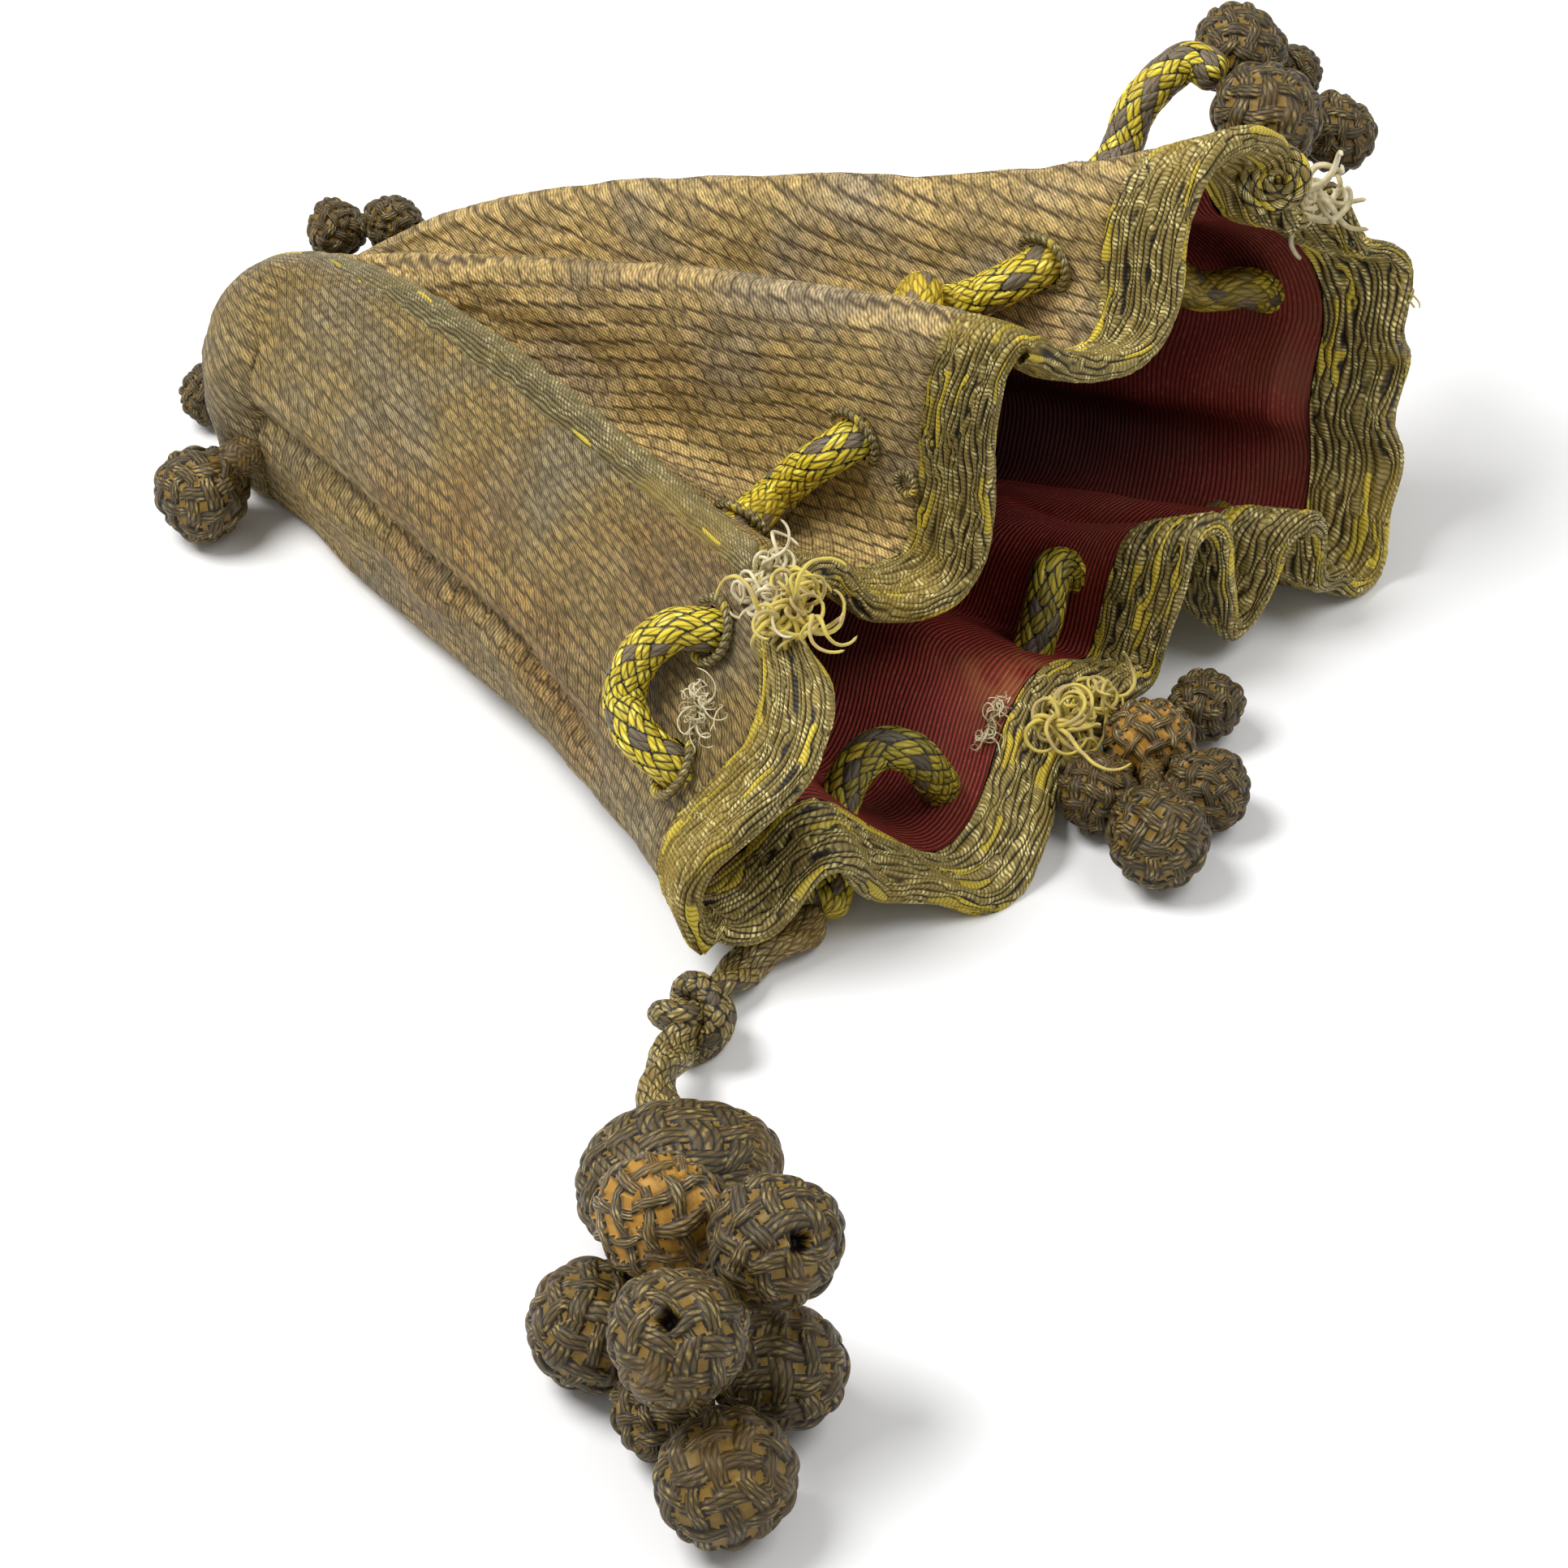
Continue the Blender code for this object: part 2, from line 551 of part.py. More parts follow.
def main():
    """Build the purse."""
    clear_scene()
    cloth, trim = add_bag()

    string = smooth_route(DRAWSTRING, CORD_STEP)
    add_tube("drawstring", shorten(string, CORD_JOINT, 0.0), CORD_DIAMETER, "cord")
    far_string = smooth_route(FAR_DRAWSTRING, CORD_STEP)
    add_tube("far_drawstring", shorten(far_string, 0.0, CORD_JOINT), CORD_DIAMETER, "cord")
    tail = smooth_route(TAIL, CORD_STEP)
    add_tube("tail", shorten(tail, 0.0, CORD_JOINT), CORD_DIAMETER, "cord")

    way_width = CORD_DIAMETER + 2 * EYELET_CLEARANCE
    grid = surface_grid()
    ways = []
    for stretch in crossings(string, grid) + crossings(far_string, grid):
        ways.append(add_cutter(f"eyelet_way_{len(ways) + 1}", stretch, way_width))
    for piece in cloth + [trim]:
        for way in ways:
            cut(piece, way)

    knot = add_ball("tail_knot", tail[KNOT_POINT], KNOT_DIAMETER, "cord")
    cut(knot, add_cutter("way_of_tail", tail, CORD_DIAMETER + 2 * CORD_END_GAP))

    add_tube("near_core", [Vector(point) for point in NEAR_CORE], CORD_DIAMETER, "cord")

    for name, (centre, diameter) in BALLS.items():
        if name == "near_head":
            add_ball(name, centre, diameter, flatness=HEAD_FLATNESS, turn=HEAD_TURN)
        else:
            add_ball(name, centre, diameter)


main()
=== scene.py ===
"""Looks of a small drawstring purse: woven metal-thread cloth, ribbed silk lining, couched rim
trim, braided cords and plaited ball pendants, over the purse's solids."""
import math
from contextlib import contextmanager

import bmesh
import bpy
import numpy as np
from mathutils import Matrix, Vector


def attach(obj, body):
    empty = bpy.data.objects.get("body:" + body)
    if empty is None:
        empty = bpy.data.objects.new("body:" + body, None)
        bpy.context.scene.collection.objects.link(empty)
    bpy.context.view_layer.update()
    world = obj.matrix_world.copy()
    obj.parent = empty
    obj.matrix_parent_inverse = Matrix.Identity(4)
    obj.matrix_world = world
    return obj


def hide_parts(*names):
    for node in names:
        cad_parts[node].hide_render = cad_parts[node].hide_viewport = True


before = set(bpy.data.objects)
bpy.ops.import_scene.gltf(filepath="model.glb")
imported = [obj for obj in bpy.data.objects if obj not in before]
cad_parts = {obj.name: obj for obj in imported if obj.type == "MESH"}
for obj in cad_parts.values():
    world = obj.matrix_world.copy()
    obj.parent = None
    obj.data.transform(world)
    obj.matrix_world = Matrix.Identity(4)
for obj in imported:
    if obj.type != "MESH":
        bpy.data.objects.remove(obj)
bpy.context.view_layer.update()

MM = 0.001

# Driving dimensions, millimetres. The rest point is where the origin lies in the layout.
REST_X = -36.5
REST_Y = 6.45
CLOTH_THICKNESS = 1.2
LINING_THICKNESS = 0.8
LAYER_GAP = 0.3
SEAM_GAP = 0.6
TRIM_WIDTH = 8.0
RIB_LENGTH = 104.0
BRAID_WIDTH = 9.0
CORD_DIAMETER = 4.5
CORD_RIDE = 0.95
CAP_LENGTH = 7.5
BASE_TILT = 16.7
BASE_TIP = (-67.6, 4.0, 10.0)
TIP_FALL = 0.3
TIP_WIDTH_SHARE = 0.62
TIP_HEIGHT_SHARE = 0.03
CAP_FULLNESS = 0.5

FLOOR = CLOTH_THICKNESS + LAYER_GAP / 2
CORD_RADIUS = CORD_DIAMETER / 2
ON_TABLE = CORD_RADIUS + 0.1

# Ribs in order round the mouth, from the near fold over the top to the far side and back
# underneath: name, rim point (x, y, z), base point (along the base, height), lift at one
# third and two thirds of the way to the rim, and sideways bulge at two thirds.
RIBS = (
    ("near fold", (28.5, -57.0, 7.0), (-17.0, 1.4), (0, 0), 10),
    ("near under", (26.5, -55.0, 13.0), (-18.8, 6.0), (0, 0), 8),
    ("near flank", (30.5, -51.0, 20.0), (-20.8, 13.0), (0, 0), 3),
    ("near crest", (34.5, -46.0, 26.5), (-21.0, 20.5), (0, 0), 0),
    ("near shoulder", (33.0, -41.5, 31.5), (-17.0, 24.5), (0, 1), -1),
    ("near top", (28.5, -37.5, 34.5), (-9.0, 26.5), (1, 1), 0),
    ("near seam", (24.5, -32.0, 34.5), (1.0, 20.0), (12, 3), 0),
    ("notch", (21.5, -25.0, 30.5), (3.0, 18.5), (5, -2), 0),
    ("valley slope", (23.5, -17.5, 24.5), (4.5, 17.5), (0, -5), 0),
    ("near valley", (26.5, -11.0, 20.0), (5.5, 16.7), (-2, -6), 0),
    ("middle foot", (30.5, -5.5, 20.5), (6.2, 16.2), (0, -3), 0),
    ("middle flank", (31.0, -3.0, 29.0), (7.0, 15.6), (2, 1), 0),
    ("middle upper flank", (30.3, -2.0, 38.0), (7.5, 15.0), (3.5, 3), 0),
    ("middle crest", (32.5, 1.0, 50.0), (8.9, 14.0), (4.5, 4), 0),
    ("middle back", (34.0, 7.5, 43.5), (10.2, 13.2), (4, 3), 0),
    ("far valley", (36.0, 13.5, 38.0), (11.0, 12.5), (2, -3), 0),
    ("back foot", (39.5, 19.5, 37.0), (12.0, 11.8), (4, -2), 0),
    ("back flank", (40.0, 24.0, 42.5), (13.0, 11.0), (8, 1), 0),
    ("back upper flank", (39.0, 26.5, 51.5), (14.0, 10.3), (12, -2), 0),
    ("back crest", (41.0, 32.0, 59.0), (15.0, 9.5), (17, -9), 0),
    ("curl top", (44.0, 37.0, 55.5), (15.8, 9.0), (15, -9), 2),
    ("curl", (45.5, 40.5, 46.0), (16.6, 8.4), (10, 0), 3),
    ("far seam", (47.5, 45.5, 43.0), (17.4, 7.6), (8, 0), 4),
    ("far curl", (51.5, 50.0, 38.5), (18.0, 6.8), (5, 0), 4),
    ("far point", (56.0, 49.5, 30.5), (18.6, 6.0), (3, 0), 4),
    ("far side", (56.0, 47.0, 20.0), (19.0, 5.0), (0, 0), 3),
    ("far low", (58.0, 44.5, 11.0), (19.0, 3.6), (-2, 0), 2),
    ("far foot", (60.0, 38.5, 4.0), (18.5, 2.0), (-3, 0), 0),
    ("low right", (58.0, 33.0, 1.6), (16.0, 1.4), (-3, -1), 0),
    ("fourth ridge side", (57.2, 30.4, 8.0), (13.4, 1.4), (-5, 1), 0),
    ("fourth ridge", (56.2, 27.6, 16.0), (12.0, 1.4), (-8, -6), 0),
    ("fourth ridge back", (54.6, 24.8, 16.0), (10.6, 1.4), (-8, -6), 0),
    ("fourth ridge foot", (53.0, 22.4, 7.0), (9.4, 1.4), (-5, 8), 0),
    ("third dip", (51.8, 20.2, 3.0), (8.4, 1.4), (-4, 18), 0),
    ("third ridge side", (51.4, 18.4, 10.0), (7.4, 1.4), (-5, 5), 0),
    ("third ridge", (50.4, 16.2, 20.5), (6.2, 1.4), (-9, -9), 0),
    ("third ridge back", (48.8, 13.0, 20.5), (4.8, 1.4), (-9, -9), 0),
    ("third ridge foot", (47.6, 10.6, 10.0), (3.4, 1.4), (-5, -5), 0),
    ("second dip", (47.4, 7.4, 3.0), (1.8, 1.4), (-3, -3), 0),
    ("low swell", (46.8, 2.0, 5.5), (-1.0, 1.4), (-5, 4), 0),
    ("low seam", (45.8, -5.5, 7.0), (-4.0, 1.4), (-6, 12), 0),
    ("low swell end", (46.5, -13.5, 4.0), (-7.0, 1.4), (-6, 16), 0),
    ("front lobe", (49.0, -24.0, 2.0), (-10.0, 1.4), (-5, 8), 0),
    ("front tip", (47.5, -31.0, 1.6), (-11.5, 1.4), (-6, 2), 0),
    ("first ridge foot", (42.5, -35.5, 3.2), (-12.6, 1.4), (-10, 16), 2),
    ("first ridge side", (39.8, -40.0, 9.0), (-13.4, 1.4), (-11, 18), 3),
    ("first ridge", (37.3, -44.3, 14.0), (-14.2, 1.4), (-12, 17), 4),
    ("first ridge back", (33.8, -47.2, 11.0), (-15.0, 1.4), (-8, 8), 6),
    ("near tuck", (31.0, -52.0, 7.2), (-16.0, 1.4), (-3, 0), 9),
)
SEAMS = {"near": "near seam", "far": "far seam", "low": "low seam"}

# Heights of a cord's middle lying on the cloth, and inside on the lining
OVER = LAYER_GAP / 2 + CLOTH_THICKNESS + CORD_RIDE + CORD_RADIUS
UNDER = -(LAYER_GAP / 2 + LINING_THICKNESS + CORD_RIDE + CORD_RADIUS)

# Cord routes. An entry is a layout point, or a place on the sewn surface: rib, step along the
# rim from it, distance behind the rim, and height of the cord's middle over it.
DRAWSTRING = (
    (34.2, -42.2, ON_TABLE), (33.4, -38.6, 3.8), (31.2, -35.0, 7.4), (31.2, -31.4, 12.2),
    (32.8, -28.2, 14.4), (35.6, -26.0, 13.5), (36.8, -23.2, 8.6), (36.0, -18.6, 3.1),
    (34.8, -10.0, 2.9), (34.8, -2.6, 3.0), (35.0, 1.8, 5.0), (35.2, 5.0, 10.0),
    (34.6, 8.0, 13.6), (35.4, 12.0, 10.6),
    (36.6, 15.8, 6.2), (38.4, 20.0, 2.9), (41.0, 24.4, 2.9), (43.4, 28.6, 3.6), ("low right", 0, 13, UNDER),
    ("far foot", 1, 14, 0), ("far low", 1, 14, OVER), ("far side", 0, 13, OVER),
    ("far point", 3, 13, OVER), ("far point", -4, 13, UNDER - 1), ("far seam", 0, 14, UNDER - 4),
    ("back upper flank", 2, 15, UNDER), ("back flank", 3, 16, OVER), ("back flank", -2, 22, OVER),
    ("back foot", -3, 26, OVER), ("middle back", 2, 21, OVER), (18.0, 4.5, 35.5),
    ("middle flank", 4, 17, OVER),
    ("middle foot", 0, 22, OVER + 1.5), ("near valley", 0, 23, OVER + 0.5), ("notch", 2, 18, UNDER),
    ("near top", 5, 18, UNDER), ("near top", 0, 19, OVER), ("near shoulder", -2, 26, OVER),
    ("near crest", -2, 26, OVER), ("near flank", 4, 18, OVER), ("near flank", -1, 15, UNDER - 2),
)
FAR_DRAWSTRING = (
    ("back upper flank", 3, 24, UNDER - 1.5), ("back crest", 2, 22, UNDER), ("curl", 0, 20, OVER),
    (23.5, 47.0, 48.0), (26.5, 52.5, 51.5), (31.0, 52.6, 50.5),
)
TAIL = (
    (37.7, -81.3, 8.1), (34.6, -76.2, 6.9), (32.4, -69.6, 4.9), (31.4, -64.0, 4.4),
    (30.6, -58.0, 2.8), (31.2, -52.0, ON_TABLE), (33.0, -46.8, ON_TABLE), (34.2, -42.2, ON_TABLE),
)
KNOT_POINT = 3
# The bound ends of the cord between the near head and its balls
NEAR_CORE = ((49.7, -93.7, 8.4), (52.2, -98.6, 8.8), (54.9, -103.4, 9.2))

# Balls: centre and diameter
BALLS = {
    "near_head": ((43.6, -87.4, 8.15), 21.2),
    "near_ball_left": ((45.8, -107.4, 6.8), 13.2),
    "near_ball_right": ((64.0, -102.9, 6.8), 13.2),
    "near_ball_end": ((66.8, -117.7, 7.0), 13.6),
    "near_ball_low": ((56.4, -112.0, 5.2), 10.0),
    "near_ball_high": ((62.8, -101.5, 22.2), 13.4),
    "near_ball_amber": ((49.7, -100.7, 17.9), 13.4),
    "near_ball_middle": ((60.1, -114.9, 20.2), 13.6),
    "right_head": ((52.5, -3.2, 5.1), 10.0),
    "right_ball_front": ((60.7, -16.9, 5.8), 11.4),
    "right_ball_side": ((61.4, -6.5, 4.7), 9.2),
    "right_ball_left": ((51.4, -12.6, 4.5), 8.8),
    "right_ball_back": ((54.9, 5.9, 4.4), 8.6),
    "far_body": ((37.1, 51.1, 48.5), 12.8),
    "far_ball_top": ((29.2, 60.2, 49.4), 10.6),
    "far_ball_right": ((40.2, 63.3, 40.2), 9.2),
    "far_ball_back": ((33.0, 66.6, 43.6), 7.2),
    "base_ball_near": ((-59.9, -19.6, 5.7), 11.2),
    "base_ball_small": ((-70.6, -2.4, 4.1), 7.2),
    "base_ball_far": ((-64.9, 28.3, 11.2), 7.4),
    "base_ball_end": ((-71.9, 26.3, 9.2), 7.4),
}
# The near head is a bead flattened along its cord and in height
HEAD_FLATNESS = 0.755
HEAD_TURN = -46.0

# Samples of the sewn surface
RIM_SAMPLES = 420
SMOOTHING_PASSES = 14

# Thread work, millimetres
CLOTH_CELL = {"panel_back": (2.1, 2.7), "panel_under": (2.1, 2.7), "panel_near": (1.5, 1.9)}
CLOTH_RELIEF = {"panel_back": 0.24, "panel_under": 0.24, "panel_near": 0.14}
BLOCK_SKEW = 0.45
BLOCK_STEP = 0.26
TRIM_THREAD = 0.74
BRAID_THREAD = 0.55
BALL_STRIP = 2.4
LINING_RIB = 0.54
# Height that the silk's ribs rise and fall about
RIB_MIDDLE = 0.55

# Rows of faces over the base cap, and their spacing over the rest of the bag
CAP_ROWS = 18
ROW_STEP = 0.5
# Columns of faces across one thread of a braid or the trim, and across one strand of a cord
THREAD_COLUMNS = 5
STRAND_COLUMNS = 8
# Spacing of the points along a cord's route, along a braided cord and along a frayed thread
ROUTE_STEP = 0.5
CORD_STEP = 0.43
FRAY_STEP = 0.4
# Bends in a frayed thread, and the height of the table that it may not sink under
FRAY_BENDS = 18
FRAY_LOWEST = 0.25
# Room round the cord's radius where each sheet is cut open for it
CLOTH_ROOM = 0.1
BRAID_ROOM = 0.35
TRIM_ROOM = 0.2
LINING_ROOM = -0.4
# Half the thickness of the rolled trim
TRIM_HALF = 1.25
# The crease of the near panel: rib, step along the rim from it and distance behind the rim
FOLD_LINE = (("near flank", 2.9, 104.0), ("near flank", 2.0, 81.0), ("near flank", 0.1, 61.4),
             ("near flank", -1.7, 46.8), ("near under", 2.6, 30.2), ("near under", -1.0, 16.0))
# The ways that the open poles of two balls face
BALL_HOLES = {"near_ball_middle": (0.11, -0.44, 0.89), "near_ball_high": (0.65, -0.38, 0.67)}
# Thin threads that join a ball to its neighbour
STEMS = (("right_head", "right_ball_front"), ("right_head", "right_ball_side"),
         ("right_head", "right_ball_back"), ("right_head", "right_ball_left"),
         ("far_body", "far_ball_top"), ("far_body", "far_ball_right"),
         ("far_ball_top", "far_ball_back"), ("base_ball_far", "base_ball_end"))
# Frayed ends: name, where they start on the cloth, the way they flow, number, length, thickness,
# curl, material and slot
FRAYS = (
    ("near_seam_fray", (("near top", 5, 3, 1.6), ("near top", 2, 1, 1.6), ("near top", 0, 4, 1.6)),
     (0.7, -0.2, 0.1), 60, 12.0, 0.7, 0.5, "yellow_floss", "rim_trim"),
    ("near_seam_fray_pale", (("near top", 6, 6, 1.6), ("near top", 1, 5, 1.6)),
     (0.5, -0.5, 0.0), 54, 11.0, 0.6, 0.5, "cream_floss", "rim_trim"),
    ("worn_patch_fray", (("near crest", 1.5, 18, 1.7), ("near crest", -3, 15, 1.7)),
     (0.5, -0.5, -0.1), 70, 8.0, 0.26, 0.5, "cream_floss", "panel_near"),
    ("low_seam_fray", (("low seam", 4, 3, -1.7), ("low seam", 0, 0.5, 1.0), ("low seam", -4, 2, -1.7)),
     (0.3, -0.2, 0.2), 52, 13.0, 0.7, 0.48, "yellow_floss", "rim_trim"),
    ("low_lining_fray", (("low seam", 5, 9, -1.3), ("low swell end", 2, 9, -1.3)),
     (0.9, -0.3, 0.0), 30, 6.0, 0.24, 0.4, "cream_floss", "lining"),
    ("far_fray", (("far seam", -2, 1, 1.6), ("curl", 0, 1, 1.6)),
     (0.35, 0.3, -0.1), 44, 11.5, 1.1, 0.6, "cream_floss", "rim_trim"),
    ("far_side_fray", (("far point", 1, 0, 0.8), ("far point", -2, 0, 0.8)),
     (0.9, 0.3, 0.3), 7, 4.5, 0.36, 0.3, "yellow_floss", "rim_trim"),
)


# Sewn surface


def lengths_along(points):
    """Distance from the start of a line to each of its points."""
    return np.concatenate([[0], np.cumsum(np.linalg.norm(np.diff(points, axis=0), axis=1))])


def hermite_ring(values, knots, samples):
    """Read a smooth closed curve through values, whose places along it are knots."""
    count = len(values)
    total = knots[-1]
    slopes = []
    for i in range(count):
        gap = (knots[i + 1] - knots[i]) + (knots[i] - knots[i - 1] if i else total - knots[count - 1])
        slopes.append((values[(i + 1) % count] - values[i - 1]) / gap)
    ring = []
    for k in range(samples):
        here = total * k / samples
        i = min(int(np.searchsorted(knots, here, side="right")) - 1, count - 1)
        width = knots[i + 1] - knots[i]
        t = (here - knots[i]) / width
        ring.append((2 * t**3 - 3 * t**2 + 1) * values[i] + (t**3 - 2 * t**2 + t) * width * slopes[i]
                    + (3 * t**2 - 2 * t**3) * values[(i + 1) % count]
                    + (t**3 - t**2) * width * slopes[(i + 1) % count])
    return np.array(ring)


class Surface:
    """The sewn surface between cloth and lining, read for whole arrays of places at once."""

    def __init__(self):
        table = np.array([list(rim) + list(base) + list(lift) + [side]
                          for name, rim, base, lift, side in RIBS], dtype=float)
        rims = table[:, :3]
        steps = np.linalg.norm(np.roll(rims, -1, axis=0) - rims, axis=1)
        knots = np.concatenate([[0.0], np.cumsum(steps)])
        ring = hermite_ring(table, knots, RIM_SAMPLES)
        for _ in range(SMOOTHING_PASSES):
            ring = 0.25 * np.roll(ring, 1, axis=0) + 0.5 * ring + 0.25 * np.roll(ring, -1, axis=0)
        self.ring = ring
        self.perimeter = float(knots[-1])
        self.rib_at = {rib[0]: knots[k] / knots[-1] for k, rib in enumerate(RIBS)}
        tilt = math.radians(BASE_TILT)
        self.along = np.array([-math.sin(tilt), math.cos(tilt), 0.0])
        self.inward = np.array([math.cos(tilt), math.sin(tilt), 0.0])

    def base_point(self, along, height, depth):
        """Points of the base line, moved a depth into the bag."""
        point = np.array(BASE_TIP) + self.along * along[..., None] + self.inward * depth[..., None]
        point[..., 2] = height
        return point

    def at(self, u, row):
        """Points of the surface in layout millimetres: row -1 is the base tip and 1 the rim."""
        u, row = np.broadcast_arrays(np.asarray(u, float), np.asarray(row, float))
        x = (u % 1.0) * RIM_SAMPLES
        k = np.floor(x).astype(int) % RIM_SAMPLES
        f = (x - np.floor(x))[..., None]
        values = (1 - f) * self.ring[k] + f * self.ring[(k + 1) % RIM_SAMPLES]
        rim = values[..., :3]
        along, height, lift_a, lift_b, side = np.moveaxis(values[..., 3:], -1, 0)
        angle = (1 + np.clip(row, -1, 0)) * math.pi / 2
        swell = np.sin(angle) ** CAP_FULLNESS
        width = TIP_WIDTH_SHARE + (1 - TIP_WIDTH_SHARE) * swell
        rise = TIP_HEIGHT_SHARE + (1 - TIP_HEIGHT_SHARE) * swell
        tip_height = BASE_TIP[2] - TIP_FALL * along
        cap = self.base_point(along * width, tip_height + (height - tip_height) * rise,
                              CAP_LENGTH * (1 - np.cos(angle)))
        start = self.base_point(along, height, np.full_like(along, CAP_LENGTH))
        first = start + (rim - start) / 3
        first[..., 2] += lift_a
        second = start + (rim - start) * 2 / 3
        second[..., 1] += side
        second[..., 2] += lift_b
        v = np.clip(row, 0, 1)[..., None]
        w = 1 - v
        body = w**3 * start + 3 * w * w * v * first + 3 * w * v * v * second + v**3 * rim
        body[..., 2] = np.maximum(body[..., 2], FLOOR)
        return np.where((row < 0)[..., None], cap, body)

    def normal(self, u, row):
        """Outward directions of the surface."""
        u, row = np.broadcast_arrays(np.asarray(u, float), np.asarray(row, float))
        around = self.at(u + 0.75 / RIM_SAMPLES, row) - self.at(u - 0.75 / RIM_SAMPLES, row)
        along = self.at(u, np.minimum(row + 0.01, 1)) - self.at(u, np.maximum(row - 0.01, -1))
        direction = np.cross(along, around)
        return direction / np.maximum(np.linalg.norm(direction, axis=-1, keepdims=True), 1e-9)

    def step_round(self, u, row, distance):
        """The share round the rim that lies a distance along the given row."""
        du = math.copysign(0.25 / RIM_SAMPLES, distance)
        shares = u + du * np.arange(0, 4 * 60)
        points = self.at(shares, np.full_like(shares, row))
        return float(np.interp(abs(distance), lengths_along(points), shares))


SURFACE = Surface()
TRIM_ROW = 1.0 - TRIM_WIDTH / RIB_LENGTH
CLOTH_END = TRIM_ROW - SEAM_GAP / RIB_LENGTH
OUTSIDE = LAYER_GAP / 2 + CLOTH_THICKNESS
INSIDE = -(LAYER_GAP / 2 + LINING_THICKNESS)


def part_frame(points):
    """Turn layout millimetres into the part's frame in metres."""
    return (np.asarray(points, float) - np.array([REST_X, REST_Y, 0.0])) * MM


def route_point(entry):
    """A route entry as a layout point: either a point, or a place measured on the surface."""
    if len(entry) == 3:
        return np.array(entry, dtype=float)
    rib, step, behind, height = entry
    u = SURFACE.rib_at[rib] + step / SURFACE.perimeter
    row = 1.0 - behind / RIB_LENGTH
    return SURFACE.at(u, row) + SURFACE.normal(u, row) * height


def smooth_route(entries, step):
    """Evenly spaced points on a smooth curve through a route's own points."""
    points = [Vector(route_point(entry)) for entry in entries]
    ends = [points[0] * 2 - points[1]] + points + [points[-1] * 2 - points[-2]]
    fine = []
    for a, b, c, d in zip(ends, ends[1:], ends[2:], ends[3:]):
        for k in range(12):
            t = k / 12
            fine.append(0.5 * ((2 * b) + (c - a) * t + (2 * a - 5 * b + 4 * c - d) * t**2
                               + (3 * b - a - 3 * c + d) * t**3))
    fine.append(points[-1])
    return even_line(np.array(fine), step)


def even_line(points, step):
    """The same line with evenly spaced points."""
    lengths = lengths_along(points)
    wanted = np.linspace(0, lengths[-1], max(3, round(lengths[-1] / step)) + 1)
    return np.stack([np.interp(wanted, lengths, points[:, k]) for k in range(3)], axis=1)


def length_of(points):
    """Length of a whole line."""
    return float(np.linalg.norm(np.diff(points, axis=0), axis=1).sum())


def soft_noise(shape, cells, seed):
    """Smooth random heights between -1 and 1 over a grid."""
    source = np.random.default_rng(seed).uniform(-1, 1, (cells[0] + 3, cells[1] + 3))

    def eased(values):
        low = np.floor(values).astype(int)
        part = values - low
        return low, part * part * (3 - 2 * part)

    rows, down = eased(np.linspace(0, cells[0], shape[0])[:, None])
    columns, right = eased(np.linspace(0, cells[1], shape[1])[None, :])
    return ((1 - down) * ((1 - right) * source[rows, columns] + right * source[rows, columns + 1])
            + down * ((1 - right) * source[rows + 1, columns] + right * source[rows + 1, columns + 1]))


# Materials


